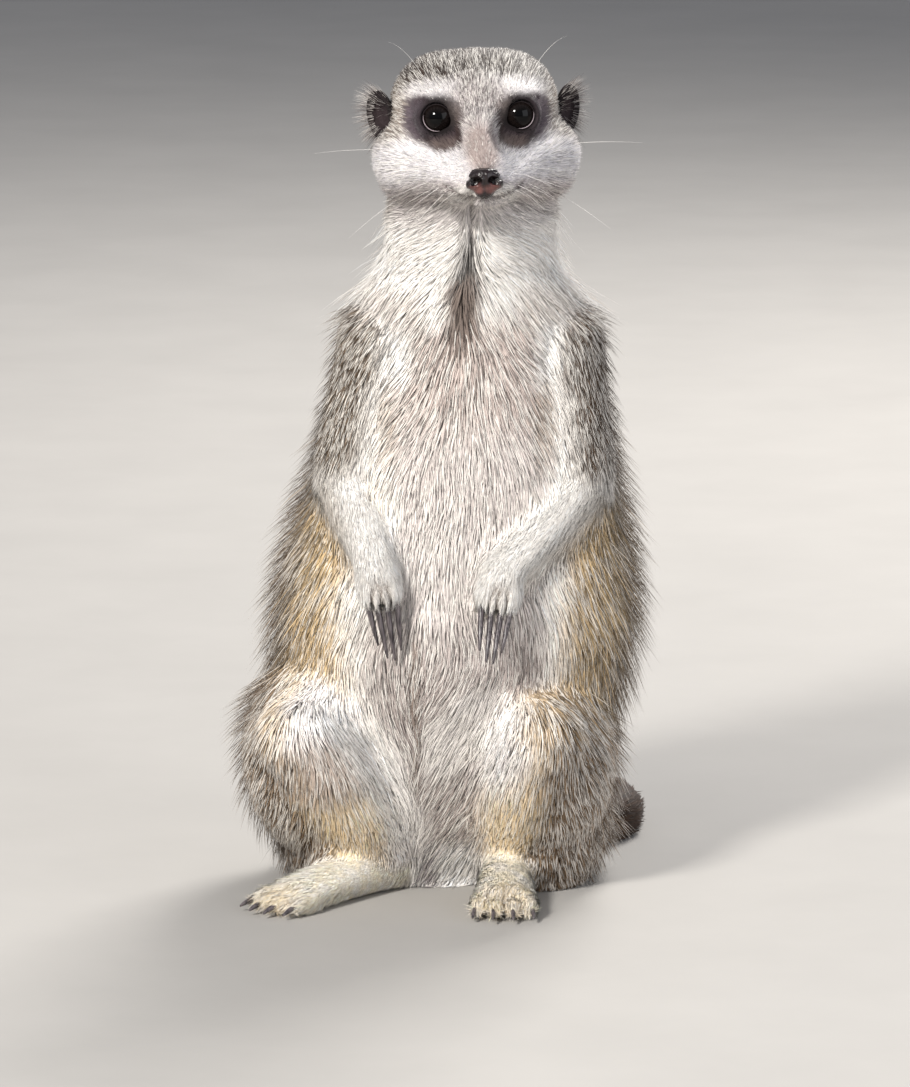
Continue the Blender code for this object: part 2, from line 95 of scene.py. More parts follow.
TAIL_X = (1.0, 14, 34, 52, 61, 61, 52, 34, 12, -10)
TAIL_Y = (20.0, 33, 38, 41, 55, 79, 103, 121, 131, 134)
TAIL_PATH = np.column_stack([TAIL_X, TAIL_Y])
SPINE = ((0, 58, 120, 172, 250), (0.5, 2.4, 8.8, 11.0, 11.5))  # heights, X of the body there
MIDDLE = 4  # X that parts the right limbs from the left ones

# ---------------- sizes that only the looks need (mm)
EAR_PLACE = np.array((29.4, -1.5, 3.8))  # in the head's frame, mirrored for the right ear
EAR_TURN = (6, -28)  # roll and yaw (degrees), mirrored for the right ear
SKIN_FLOOR, HAIR_FLOOR = 0.25, 0.15  # the lowest that skin and hair reach above the floor
SKIN_VOXEL, NOSE_VOXEL = 1.25, 0.28  # grain of the surfaces that flesh and nose are made into
# The skin is darker than its coat: partly the undercoat's own darker colour, partly painted shade
# under the locks.
SKIN_SHADE = 0.7  # the factor that makes the skin darker than its coat
MOUTH_DEPTH, GAP_DEPTH, SLIT_DEPTH = 0.9, 1.1, 2.0  # of the mouth's line, toe gaps, throat slit
BRIDGING = 0.36  # how far the flesh solids are swelled, so that they meet across their cuts
GIRTH_KEPT = 0.18  # how far the claws are swelled, for what rounding takes off them
TAIL_STEPS = 60  # how finely places along the tail are told apart

# ---------------- the coat, region by region
COATS = {  # the skin's depth below the solid, then each lock's length, lift (degrees) and width
    "face": (1.2, 2.7, 27, 0.32),
    "neck": (2.8, 8.0, 27, 0.44),
    "trunk": (3.0, 10.5, 24, 0.48),
    "upper_arm": (2.4, 8.0, 27, 0.46),
    "forearm": (1.5, 4.8, 24, 0.33),
    "paw": (0.8, 3.6, 23, 0.28),
    "thigh": (2.8, 9.5, 25, 0.48),
    "shank": (2.8, 8.5, 27, 0.48),
    "foot": (0.9, 4.0, 26, 0.32),
    "tail": (2.2, 7.0, 25, 0.46),
}
REGIONS = list(COATS)


def region_of(name):
    """The coat region of a CAD node of flesh, or None for ears, eyes, nose and claws."""
    if name in ("head", "lower_jaw"):
        return "face"
    return next((r for r in REGIONS if name.startswith(r) or name.endswith(r)), None)


FLESH = {name: region_of(name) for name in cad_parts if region_of(name)}


# ---------------- small tools on arrays
def ease(value, low, high):
    """0 below low, 1 above high, smooth between. low may be the greater one."""
    t = np.clip((value - low) / (high - low), 0, 1)
    return t * t * (3 - 2 * t)


def norm(vectors):
    return np.linalg.norm(vectors, axis=-1)


def unit(vectors):
    return vectors / np.maximum(norm(vectors)[..., None], 1e-9)


def within(points, centre, radii, soft=0.35):
    """1 inside an ellipsoid, 0 outside it, smooth across its edge."""
    return ease(norm((points - np.array(centre)) / np.array(radii)), 1 + soft, 1 - soft)


def waves(points, size, seed):
    """A smooth random field from about -1 to 1, whose swells are about that size."""
    rng = np.random.default_rng(seed)
    total = np.zeros(len(points))
    for _ in range(7):
        way = unit(rng.normal(size=3))
        across = points @ way * (2 * np.pi / size)
        total += np.sin(across * rng.uniform(0.6, 1.5) + rng.uniform(0, 6.3))
    return total / 4


def along_bone(points, start, end):
    """For each point: how far it is along a bone, 0 to 1, and its offset square to the bone."""
    bone = end - start
    share = np.clip((points - start) @ bone / (bone @ bone), 0, 1)
    return share, points - start - share[:, None] * bone


def in_head(points):
    """The same points in the head's frame: -Y out of the nose, +X the animal's left."""
    return (points - HEAD_PLACE) @ HEAD_AXES


def from_head(points):
    return points @ HEAD_AXES.T + HEAD_PLACE


def mirrored(h):
    """The same places on the animal's left half of the head."""
    return np.column_stack([np.abs(h[:, 0]), h[:, 1], h[:, 2]])


def share_of(shares, *regions):
    """How far each point belongs to the regions."""
    return shares[:, [REGIONS.index(r) for r in regions]].sum(1)


def blended(by_region, shares):
    """The regions' values, mixed at each point by its shares."""
    total = 0
    for region, share in zip(REGIONS, shares.T):
        value = by_region[region]
        total = total + value * (share[:, None] if value.ndim > 1 else share)
    return total


def by_side(p, right, left):
    """The right limb's values for points on that side, the left one's for the others."""
    on_right = p[:, :1] < MIDDLE
    return np.where(on_right if right.ndim > 1 else on_right[:, 0], right, left)


def beside_spine(p):
    """How far each point is to the animal's left of the body's middle."""
    return p[:, 0] - np.interp(p[:, 2], *SPINE)


def parting(z):
    """X of the parting of throat and chest at a height."""
    return np.interp(z, (184, 215), (7.0, 11.0))


# ---------------- meshes and objects
def read(items, attribute, kind=np.float32, width=3):
    """What each item of a mesh says, as an array of that width."""
    values = np.empty(len(items) * width, kind)
    items.foreach_get(attribute, values)
    return values.reshape(-1, width)


def points_of(mesh):
    return read(mesh.vertices, "co").astype(float) / MM


def normals_of(mesh):
    return read(mesh.vertex_normals, "vector").astype(float)


def triangles_of(mesh):
    mesh.calc_loop_triangles()
    return read(mesh.loop_triangles, "vertices", np.int32)


def edges_of(mesh):
    return read(mesh.edges, "vertices", np.int32, 2)


def set_points(mesh, points):
    mesh.vertices.foreach_set("co", (points * MM).astype(np.float32).ravel())
    mesh.update()


def smooth(mesh):
    mesh.polygons.foreach_set("use_smooth", np.ones(len(mesh.polygons), bool))


def colour_points(mesh, colours):
    layer = mesh.color_attributes.new("coat_colour", "FLOAT_COLOR", "POINT")
    rgba = np.ones((len(colours), 4), np.float32)
    rgba[:, :3] = np.clip(colours, 0, 1)
    layer.data.foreach_set("color", rgba.ravel())


def mesh_from(name, points, faces, colours, uv=None):
    """A mesh from arrays: points in mm, faces of one size, a colour and a bake place per point."""
    mesh = bpy.data.meshes.new(name)
    mesh.vertices.add(len(points))
    set_points(mesh, points)
    mesh.loops.add(faces.size)
    mesh.loops.foreach_set("vertex_index", faces.astype(np.int32).ravel())
    mesh.polygons.add(len(faces))
    starts = np.arange(0, faces.size, faces.shape[1], dtype=np.int32)
    mesh.polygons.foreach_set("loop_start", starts)
    smooth(mesh)
    mesh.update(calc_edges=True)
    if uv is not None:
        layer = mesh.uv_layers.new(name="OFBake")
        layer.uv.foreach_set("vector", uv[faces.ravel()].astype(np.float32).ravel())
    colour_points(mesh, colours)
    return mesh


@contextmanager
def reshaped(mesh):
    """The points and faces of a mesh to work on. The result goes back into the mesh."""
    shape = bmesh.new()
    shape.from_mesh(mesh)
    yield shape
    shape.to_mesh(mesh)
    shape.free()


def joined(name, meshes, weld=None):
    """One mesh made of several, in which points within weld of each other become one."""
    whole = bpy.data.meshes.new(name)
    with reshaped(whole) as shape:
        for mesh in meshes:
            shape.from_mesh(mesh)
        if weld:
            bmesh.ops.remove_doubles(shape, verts=shape.verts[:], dist=weld * MM)
            bmesh.ops.recalc_face_normals(shape, faces=shape.faces[:])
    return whole


def placed(name, data):
    obj = bpy.data.objects.new(name, data)
    bpy.context.scene.collection.objects.link(obj)
    return obj


def piece(name, mesh, material, slot):
    """A visible piece of the model."""
    obj = placed(name, mesh)
    mesh.materials.clear()
    mesh.materials.append(material)
    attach(obj, "root")
    return obj


def modified(mesh, *modifiers):
    """The mesh as modifiers leave it, each given by its kind and settings."""
    obj = placed("form", mesh)
    for kind, settings in modifiers:
        modifier = obj.modifiers.new(kind, kind)
        for key, value in settings.items():
            setattr(modifier, key, value)
    bpy.context.view_layer.update()
    evaluated = obj.evaluated_get(bpy.context.evaluated_depsgraph_get())
    made = bpy.data.meshes.new_from_object(evaluated)
    bpy.data.objects.remove(obj)
    return made


def swell(size):
    return "DISPLACE", {"mid_level": 0, "strength": size * MM}


def fuse(voxel):
    return "REMESH", {"mode": "VOXEL", "voxel_size": voxel * MM}


def spread(values, edges, rounds):
    """Evens out values over a mesh: each point takes half of its neighbours' mean, each round."""
    a, b = edges.T
    count = len(values)
    degree = np.maximum(np.bincount(a, minlength=count) + np.bincount(b, minlength=count), 1)
    values = values.astype(float)
    for _ in range(rounds):
        for column in values.T if values.ndim > 1 else [values]:
            total = np.bincount(a, column[b], count) + np.bincount(b, column[a], count)
            column[:] = 0.5 * column + 0.5 * total / degree
    return values


# ---------------- digits and claws
def claw_roots():
    """For each limb: the roots of its four claws and the joint that its digits run from."""
    joints = {f"foreleg_{name}": arm.wrist for name, arm in ARMS.items()}
    joints |= {f"hind_leg_{name}": leg.ankle for name, leg in LEGS.items()}
    limbs = []
    for limb, joint in joints.items():
        roots = []
        for k in range(1, 5):
            corners = points_of(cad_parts[f"{limb}_claw_{k}"].data)
            order = np.argsort(norm(corners - joint))
            roots.append(corners[order[: len(order) // 3]].mean(0))
        limbs.append((np.array(roots), joint))
    return limbs


CLAW_ROOTS = claw_roots()


def digit_gaps(p):
    """1 in the gaps between neighbouring digits, near their ends, and 0 elsewhere."""
    gaps = np.zeros(len(p))
    for roots, joint in CLAW_ROOTS:
        ends = [(root, root + (joint - root) * 0.6) for root in roots]
        nearest = np.sort([norm(along_bone(p, *digit)[1]) for digit in ends], axis=0)
        close = ease(norm(p - roots.mean(0)), 11, 6)
        gaps = np.maximum(gaps, ease(nearest[1] - nearest[0], 0.9, 0.1) * close)
    return gaps


def near_claws(p):
    """1 at the roots of the claws, 0 from 6 mm on."""
    away = [norm(p - root) for roots, _ in CLAW_ROOTS for root in roots]
    return ease(np.min(away, axis=0), 6.0, 2.5)


# ---------------- markings, of skin and coat alike
def srgb(red, green, blue):
    """A colour as seen on screen, turned into the linear values that shaders use."""
    return np.array([((c + 0.055) / 1.055) ** 2.4 for c in (red, green, blue)])


WHITE = srgb(0.97, 0.95, 0.93)
SNOW = srgb(1.0, 0.99, 0.98)
LILAC = srgb(0.86, 0.82, 0.80)
GREY = srgb(0.78, 0.72, 0.69)
TAUPE = srgb(0.58, 0.50, 0.45)
GOLD = srgb(0.85, 0.74, 0.57)
TAN = srgb(0.72, 0.63, 0.51)
GRIZZLE = srgb(0.54, 0.45, 0.36)
BROWN = srgb(0.42, 0.33, 0.25)
DARK = srgb(0.17, 0.13, 0.11)
BLACK = srgb(0.07, 0.055, 0.05)
SILVER = srgb(0.98, 0.96, 0.93)
PATCH = srgb(0.27, 0.225, 0.24)
BRIDGE = srgb(0.68, 0.62, 0.60)
RUFOUS = srgb(0.20, 0.13, 0.075)

Look = namedtuple("Look", "base dark light")  # colour, shares of dark-tipped and of silver locks


def toward(base, colour, share):
    return base + (colour - base) * share[:, None]


def painted(base, *layers):
    """The base under layers of colour, each with its share at every point."""
    for colour, share in layers:
        base = toward(base, colour, share)
    return base


def nose_bed(h):
    """1 where the nose pad lies on the muzzle."""
    return within(h, (0, -59.5, -10.8), (6.4, 6.3, 5.9), 0.15)


def mouth_share(h):
    """Near the line of the mouth, which rises from below the nose to its corners."""
    x, y, z = h.T
    line = -16.4 + 0.024 * x * x
    return np.exp(-(((z - line) / 0.8) ** 2)) * ease(np.abs(x), 13.5, 11) * ease(y, -26, -31)


def head_look(h):
    """Colours of the head, in its own frame. The marks of the face are set out on a flat that
    leans back as the face does, so that each keeps its height from eye to nose."""
    _, y, z = h.T
    flat = mirrored(h) * (1, 0, 1) + np.outer(0.185 * (y + 31), (0, 0, 1))
    eye = flat - EYE_PLACE * (1, 0, 1)
    high = eye[:, 2]

    def mark(out, up, wide, tall, soft=0.3):
        return within(eye, (out, 0, up), (wide, 1, tall), soft)

    face = ease(y, -4, -13)
    uneven = waves(h, 8, 5)
    crown = ease(high + uneven + 0.10 * flat[:, 0], 9.5, 14.5) * ease(y, -44, -36)
    nape = ease(y, -2, 12)
    temple = mark(13.5, 3, 5, 12, 0.5)
    brow = mark(1.5, 9.6, 8.0, 3.2, 0.45) * face
    cheek = np.maximum(mark(8.0, -14.0, 16, 7.2), mark(-3.5, -17.0, 8, 5.5, 0.4)) * ease(y, 6, -4)
    low = mark(5, -24, 17, 4.2, 0.4) * face
    lips = mark(-8.5, -24.5, 6.5, 2.4, 0.4) * face
    under = ease(z, -19.5, -23) * ease(y, -8, -16)
    bridge = within(flat, (0, 0, -5.0), (5.2, 1, 8.5), 0.4) * ease(y, -28, -36)
    patch = np.maximum(mark(0.9, -0.8, 8.5, 7.6, 0.2), mark(5.2, 3.4, 4.3, 4.3, 0.3))
    patch = np.maximum(patch, mark(-2.0, -5.8, 5.4, 5.4, 0.22)) * ease(y, -8, -15)
    socket = mark(0.2, 0.3, 7.2, 6.8, 0.35) * ease(y, -18, -22)
    tear = mark(-6.4, -3.6, 1.0, 6.0, 0.5) * ease(y, -18, -24)
    forehead = within(flat, (0, 0, 11), (8.5, 1, 8), 0.5) * face
    base = painted(
        srgb(0.47, 0.42, 0.38),
        (srgb(0.82, 0.79, 0.79), face),
        (srgb(0.28, 0.23, 0.20), np.maximum(crown, ease(y, -6, 2) * ease(z, -12, -4))),
        (srgb(0.50, 0.42, 0.35), nape * 0.85),
        (srgb(0.60, 0.54, 0.48), temple * 0.8),
        (srgb(0.90, 0.88, 0.88), brow * 0.8),
        (srgb(0.92, 0.90, 0.91), cheek),
        (srgb(0.80, 0.75, 0.75), low * 0.75),
        (WHITE, lips * 0.8),
        (srgb(0.90, 0.87, 0.86), under * 0.8),
        (BRIDGE, bridge),
        (PATCH, patch),
        (srgb(0.46, 0.41, 0.44), mark(6.6, 0.0, 3.4, 5.5, 0.5) * patch * (0.85 + 0.3 * uneven)),
        (srgb(0.40, 0.35, 0.33), ease(high, -5, -9.5) * patch * 0.8),
        (srgb(0.09, 0.065, 0.07), socket * 0.92),
        (srgb(0.20, 0.14, 0.13), tear * 0.8),
        (srgb(0.30, 0.23, 0.23), mouth_share(h) * 0.8),
        (BLACK, nose_bed(h)),
        (srgb(0.62, 0.57, 0.55), forehead * 0.45),
    )
    dark = 0.26 + 0.42 * crown + 0.2 * temple + 0.05 * nape + 0.14 * low + 0.22 * forehead
    dark = dark * (1 - 0.55 * cheek) * (1 - 0.6 * brow) * (1 - patch) * (1 - 0.8 * bridge)
    light = 0.10 + 0.04 * crown + 0.14 * face + 0.08 * temple + 0.22 * nape
    return Look(base, dark, light * (1 - patch) ** 2 * (1 - 0.8 * bridge))


def streak_share(p):
    """The dark parting of throat and chest: a slit under the chin that widens below the collar."""
    x, y, z = p.T
    width = np.interp(z, (182, 200, 210, 236), (3.8, 3.2, 1.3, 0.9))
    streak = ease(np.abs(x - parting(z)), width * 1.5, width * 0.5)
    return streak * ease(z, 172, 194) * ease(z, 236, 228) * ease(y, -20, -30)


def body_look(p):
    """Colours of neck, trunk and back. turn is 0 degrees at the belly and 180 at the back."""
    x, y, z = p.T
    off = np.abs(beside_spine(p))
    wobble = waves(p, 30, 11) * 5
    turn = np.degrees(np.arctan2(off / 57, -(y + 6) / 43)) + wobble
    chest = ease(z, 148, 166)
    throat = ease(z + wobble * 0.6, 186, 197)
    collar = ease(np.abs(z + wobble * 0.4 - 194), 9, 3) * ease(np.abs(off - 20), 11, 5)
    beside_streak = ease(np.abs(z - 180), 13, 6) * ease(np.abs(off - 23), 9, 4) * ease(y, -14, -26)
    streak = streak_share(p)
    # A thin brown line down the lower belly, where the hair meets between the legs: painted shade
    # of the fold.
    belly_fold_shade = ease(np.abs(x + 6), 3.0, 0.8) * ease(z, 96, 84) * ease(z, 22, 30) * ease(y, -20, -35)
    back = ease(turn, 78, 100)
    stripes = ease(np.sin(z / 16.5 * 2 * np.pi + waves(p, 30, 3) * 1.1), 0.05, 0.6)
    broken = 0.85 + 0.3 * waves(p, 13, 4)
    stripes *= back * ease(z, 176, 160) * ease(z, 18, 34) * ease(off, 44, 28) * broken
    stripes = np.clip(stripes, 0, 1)
    base = painted(
        LILAC,
        (WHITE, ease(np.abs(z - 112), 26, 8) * 0.2),
        (srgb(1.0, 0.97, 0.94), ease(turn, 19, 30) * 0.9),
        (srgb(0.62, 0.57, 0.55), ease(z, 106, 72) * ease(turn, 34, 22) * 0.8),
        (GREY, chest * (1 - throat) * ease(off, 24, 14) * 0.9),
        (GOLD, ease(turn, 27, 50) * ease(z, 150, 128)),
        (TAN, ease(turn, 56, 70)),
        (GRIZZLE, ease(turn, 70, 88)),
        (WHITE, throat * ease(turn, 88, 62) * 0.95),
        (TAUPE, collar * ease(y, -10, -25) * 0.4),
        (SNOW, beside_streak * 0.8),
        (toward(srgb(0.40, 0.33, 0.29), srgb(0.10, 0.08, 0.08), ease(z, 200, 210)), streak * 0.9),
        (BROWN, belly_fold_shade * 0.6),
        (srgb(0.62, 0.54, 0.46), back * 0.45),
        (srgb(0.20, 0.14, 0.10), stripes * 0.92),
    )
    dark = 0.05 + 0.15 * ease(turn, 30, 60) + 0.20 * ease(turn, 62, 85)
    dark = dark + 0.08 * chest * (1 - throat) + 0.35 * stripes
    dark = dark * (1 - throat * ease(turn, 100, 70)) + 0.15 * streak
    light = (0.36 + 0.10 * ease(turn, 60, 85)) * (1 - 0.92 * stripes) * (1 - streak)
    return Look(base, dark, light)


def arm_bone(name, part):
    """Both ends of a part of the foreleg."""
    first = ARM_PARTS.index(part)
    return ARMS[name][first : first + 2]


def arm_look(p, name, part):
    """Upper arm grizzled outside and white inside; forearm and paw white."""
    count = len(p)
    if part == "paw":
        base = painted(WHITE, (srgb(0.86, 0.78, 0.66), ease(p[:, 2], 100, 92) * 0.4))
        return Look(base, np.full(count, 0.03), np.full(count, 0.45))
    share, offset = along_bone(p, *arm_bone(name, part))
    outer = offset[:, 0] * SIDES[name] / 14 + 0.35 * offset[:, 1] / 14
    rough = waves(p, 12, 8)
    if part == "upper_arm":
        brown = ease(outer + 0.15 * rough, -0.6, 0.1)
        # The left arm's brown is darker than the right's: painted shade on the side away from the
        # key light.
        brown_and_side_shade = srgb(0.38, 0.31, 0.25) if name == "left" else srgb(0.45, 0.38, 0.31)
        inner = ease(share, 0.80, 0.98) * ease(offset[:, 1], 6, 0)
        base = painted(WHITE, (brown_and_side_shade, brown), (WHITE, inner * 0.7))
        return Look(base, 0.04 + 0.34 * brown, 0.34 + 0.02 * brown)
    back = ease(outer + 0.1 * rough, 0.15, 0.8) * (1 - share * 0.5)
    dark = 0.04 + 0.25 * back + 0.03 * ease(rough, 0.2, 0.8)
    return Look(painted(WHITE, (TAN, back * 0.7)), dark, np.full(count, 0.45))


def foot_look(p, toes):
    """Cream, whiter on top of the foot and tan toward the toes."""
    base = painted(
        srgb(1.0, 0.95, 0.85),
        (WHITE, ease(waves(p, 8, 31), -0.3, 0.6) * 0.6),
        (srgb(0.86, 0.76, 0.60), ease(norm(p - toes), 14, 5) * 0.5),
    )
    return Look(base, np.full(len(p), 0.04), np.full(len(p), 0.35))


def shin_x(leg, z):
    """X of the middle of the shank at a height."""
    return np.interp(z, (10, 56), (leg.ankle[0], leg.knee[0]))


def leg_look(p, name, part):
    """Haunch grizzled outside, pale inside, warm tan at the front of the shank; a pale foot."""
    leg = LEGS[name]
    if part == "foot":
        return foot_look(p, leg.toes)
    x, y, z = p.T
    middle = shin_x(leg, z)
    outer = (x - middle) * SIDES[name] + 0.25 * (y + 40) + waves(p, 16, 21) * 2
    if name == "right":
        knee = [
            (srgb(0.70, 0.62, 0.55), within(p, (-39, -58, 47), (13, 20, 11), 0.4) * 0.75),
            (SNOW, within(p, (-31, -58, 64), (10, 16, 6), 0.4) * 0.9),
            (BROWN, within(p, (-24, -56, 56), (2.6, 12, 2.2), 0.4) * 0.7),
        ]
    else:
        outer += 7
        knee = [
            (SNOW, within(p, (18, -58, 69), (7, 16, 8), 0.5) * 0.8),
            (srgb(0.72, 0.62, 0.48), ease(z, 50, 68) * ease(x, 24, 33) * 0.7),
        ]
    grizzled = ease(outer, 1, 10)
    shin = within(p, (middle.mean() * 0.6 + leg.ankle[0] * 0.4, -46, 26), (17, 26, 17), 0.45)
    base = painted(
        srgb(0.97, 0.94, 0.93),
        (srgb(0.84, 0.75, 0.62), ease(outer, -6, 3) * 0.8),
        (srgb(0.57, 0.475, 0.375), grizzled),
        (srgb(0.93, 0.83, 0.67), shin * 0.85 * ease(outer, 14, 5)),
        *knee,
    )
    return Look(base, 0.05 + 0.24 * grizzled, 0.34 + 0.12 * grizzled)


def tail_look(p):
    """Grizzled tan at the root, then warm brown that darkens to a black tip."""
    share = tail_share(p) + 0.03 * waves(p, 10, 42)
    tip = ease(share, 0.66, 0.80)
    base = painted(
        srgb(0.46, 0.37, 0.28),
        (srgb(0.25, 0.165, 0.10), ease(share, 0.10, 0.42)),
        (RUFOUS, ease(waves(p, 12, 41), -0.3, 0.6) * ease(share, 0.15, 0.35) * 0.7),
        (BLACK, tip),
    )
    return Look(base, 0.42 * (1 - tip), 0.3 * ease(share, 0.16, 0.04))


def shared_marks(p, base):
    """Marks that cross from one part to the next: groin and inner thighs, and painted shade at the
    armpits.
    """
    groin = within(p, (3, -22, 6), (13.5, 45, 14), 0.3)
    layers = [
        (SNOW, groin * 0.9),
        (srgb(0.50, 0.46, 0.47), groin * ease(np.abs(p[:, 0] + 0.5), 4.6, 2.0) * 0.85),
    ]
    thighs = (((-28, -50, 62), (-8, -36, 24), 0.75), ((23, -56, 74), (5, -44, 54), 0.6))
    for start, end, strength in thighs:
        away = norm(along_bone(p, np.array(start), np.array(end))[1])
        layers.append((WHITE, ease(away, 13, 6) * strength))
    # tan at each armpit, between arm and chest: painted shade
    for armpit in ((-13, -42, 158), (31, -42, 158)):
        layers.append((srgb(0.58, 0.49, 0.40), within(p, armpit, (4.0, 22, 13), 0.5) * 0.55))
    return painted(base, *layers)


def markings(p, shares):
    """Colour and mix of locks at points p, which belong by shares to the regions."""
    looks = {"face": head_look(in_head(p)), "tail": tail_look(p)}
    looks["neck"] = looks["trunk"] = body_look(p)
    for part in ARM_PARTS + LEG_PARTS:
        look = arm_look if part in ARM_PARTS else leg_look
        pair = [look(p, name, part) for name in SIDES]
        looks[part] = [by_side(p, right, left) for right, left in zip(*pair)]
    base, dark, light = (blended({r: looks[r][i] for r in REGIONS}, shares) for i in range(3))
    base = toward(base, shared_marks(p, base), 1 - share_of(shares, "foot"))
    return Look(base, np.clip(dark, 0, 0.8), np.clip(light, 0, 0.8))


# ---------------- the lie of the coat
def tail_share(p):
    """How far along the tail each point is, 0 to 1."""
    steps = np.linspace(0, len(TAIL_PATH) - 1, TAIL_STEPS)
    fine = np.column_stack([np.interp(steps, range(len(TAIL_PATH)), line) for line in TAIL_PATH.T])
    nearest = np.argmin(((p[:, None, :2] - fine[None]) ** 2).sum(2), axis=1)
    return nearest / (TAIL_STEPS - 1)


def tail_way(p):
    i = np.clip((tail_share(p) * (len(TAIL_PATH) - 1)).astype(int), 0, len(TAIL_PATH) - 2)
    return unit(np.column_stack([TAIL_PATH[i + 1] - TAIL_PATH[i], np.zeros(len(p))]))


def head_way(p):
    """Hair lies away from the nose, and turns down behind the cheeks."""
    h = in_head(p)
    way = unit(h - (0, -63, -8))
    way += np.outer(ease(h[:, 1], -8, 16), (0, 0, -1.1))
    way[:, 0] += np.sign(h[:, 0]) * ease(h[:, 2], -2, -14) * 0.5
    return unit(way) @ HEAD_AXES.T


def body_way(p):
    """Down the trunk, parted at the chest streak and drawn together at the lower belly."""
    x, y, z = p.T
    side = beside_spine(p)
    front = ease(y, -12, -26)
    way = np.column_stack([side * 0.008, np.full(len(p), 0.05), np.full(len(p), -1.0)])
    parted = ease(z, 176, 190) * front * ease(np.abs(side), 40, 26)
    sideways = 0.6 + 1.0 * ease(z, 198, 214)
    apart = (x - parting(z)) / np.interp(z, (196, 206), (4.0, 1.6))
    way[:, 0] += np.tanh(apart) * sideways * parted
    fan = ease(z, 140, 160) * ease(z, 190, 176) * front * ease(np.abs(side), 34, 24)
    way[:, 0] += np.clip(side / 22, -1, 1) * 0.55 * fan
    way[:, 0] -= np.tanh((x + 6) / 7) * 0.7 * (ease(z, 92, 70) * front)
    return unit(way)


def arm_way(p, name, part):
    """Down the leg, and away from its bone where the hair is long."""
    start, end = arm_bone(name, part)
    offset = along_bone(p, start, end)[1]
    return unit(unit(end - start) + unit(offset) * (0.25 if part == "upper_arm" else 0.05))


def leg_way(p, name, part):
    """Down the leg, inward on its inner face and outward on the haunch."""
    leg, out = LEGS[name], SIDES[name]
    if part == "foot":
        ahead = unit(leg.toes - leg.heel) * (1, 1, 0)
        return np.tile(unit(ahead + (0, 0, -0.2)), (len(p), 1))
    x, _, z = p.T
    outer = (x - shin_x(leg, z)) * out
    side = (0.60 * np.tanh(outer / 15) - 0.25) * ease(z, 72, 52)
    top = ease(z, 54, 70)
    ahead = 0.30 * ease(outer, 2, 16) - 0.8 * top
    return unit(np.column_stack([(side + 0.5 * top) * out, ahead, np.full(len(p), -1.0)]))


def lie(p, shares):
    """The direction of the hair at each point, before it is laid on the skin."""
    ways = {"face": head_way(p), "tail": tail_way(p)}
    ways["neck"] = ways["trunk"] = body_way(p)
    for part in ARM_PARTS + LEG_PARTS:
        way = arm_way if part in ARM_PARTS else leg_way
        ways[part] = by_side(p, *(way(p, name, part) for name in SIDES))
    return unit(blended(ways, shares))


def coat_of(p, normals, shares):
    """Depth, length, lift and width of the coat at each point."""
    depth, length, lift, width = (shares @ np.array(list(COATS.values()))).T
    h = in_head(p)
    left = mirrored(h)
    face = share_of(shares, "face")
    shaggy = within(left, (26, -14, -12), (13, 22, 12), 0.5)
    jaw = within(left, (18, -12, -24), (20, 24, 7), 0.5)
    behind = ease(h[:, 1], -2, 12)
    near_eye = 1 - ease(norm(left - EYE_PLACE), 6.0, 11.5)
    snout = ease(h[:, 1], -34, -46)
    crown = face * ease(h[:, 2], 12, 20)
    neck = share_of(shares, "neck") * ease(p[:, 2], 196, 214)
    outside = ease(p[:, 1], -34, -8) * share_of(shares, "trunk", "thigh")
    knee = share_of(shares, "thigh") * ease(normals[:, 2], 0.3, 0.8)
    claws_near = near_claws(p)
    ankles = [within(p, leg.ankle + (0, -14, 2), (16, 20, 15), 0.4) for leg in LEGS.values()]
    ankle = np.max(ankles, axis=0)
    sole = ease(normals[:, 2], -0.5, -0.9) * ease(p[:, 2], 6, 2)
    length = (
        length
        * (1 + face * (0.7 * shaggy + 1.5 * jaw + 0.8 * behind))
        * (1 - face * np.maximum(0.76 * near_eye, 0.35 * snout))
        * (1 + 0.25 * crown)
        * (1 + 0.25 * neck)
        * (1 - 0.5 * digit_gaps(p))
        * (1 + 0.25 * claws_near)
        * (1 + 0.30 * outside)
        * (1 - 0.5 * ankle)
        * (1 - 0.6 * sole)
    )
    depth = depth * (1 - 0.75 * face * near_eye) * (1 - 0.45 * face * snout) + 2.4 * nose_bed(h)
    depth = depth * (1 + 0.25 * outside) * (1 - 0.3 * ankle) * (1 - sole)
    lift = lift + 8 * crown + 4 * neck - 10 * claws_near + 5 * outside - 14 * knee
    width = width * (1 + face * 0.25 * np.clip(shaggy + jaw + behind, 0, 1))
    return depth, length, lift, width


# ---------------- skin
Skin = namedtuple("Skin", "mesh points normals triangles shares way length lift width look")


def raw_skin():
    """All flesh nodes, and the nose that they bed, as one closed surface."""
    flesh = joined("flesh", [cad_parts[name].data for name in [*FLESH, "nose"]], 0.01)
    return modified(flesh, swell(BRIDGING), fuse(SKIN_VOXEL))


def refine(mesh, wanted):
    """Splits the faces whose middle wanted(points) picks, each into four."""
    with reshaped(mesh) as shape:
        middles = np.array([face.calc_center_median() for face in shape.faces]) / MM
        picked = wanted(middles)
        edges = {edge for face, yes in zip(shape.faces, picked) if yes for edge in face.edges}
        bmesh.ops.subdivide_edges(shape, edges=list(edges), cuts=1, use_grid_fill=True)


def on_face(points):
    h = in_head(points)
    return (h[:, 1] < -18) & (h[:, 2] > -20) & (np.abs(h[:, 0]) < 24)


def near_eyes(points):
    reach = mirrored(in_head(points)) - EYE_PLACE
    return (norm(reach) < 8.6) & (reach[:, 1] < 1)


def on_toes(points):
    """The digits of the forepaws and the toes of the hind feet."""
    tips = [(arm.tips, 17) for arm in ARMS.values()] + [(leg.toes, 24) for leg in LEGS.values()]
    return np.any([norm(points - tip) < reach for tip, reach in tips], axis=0)


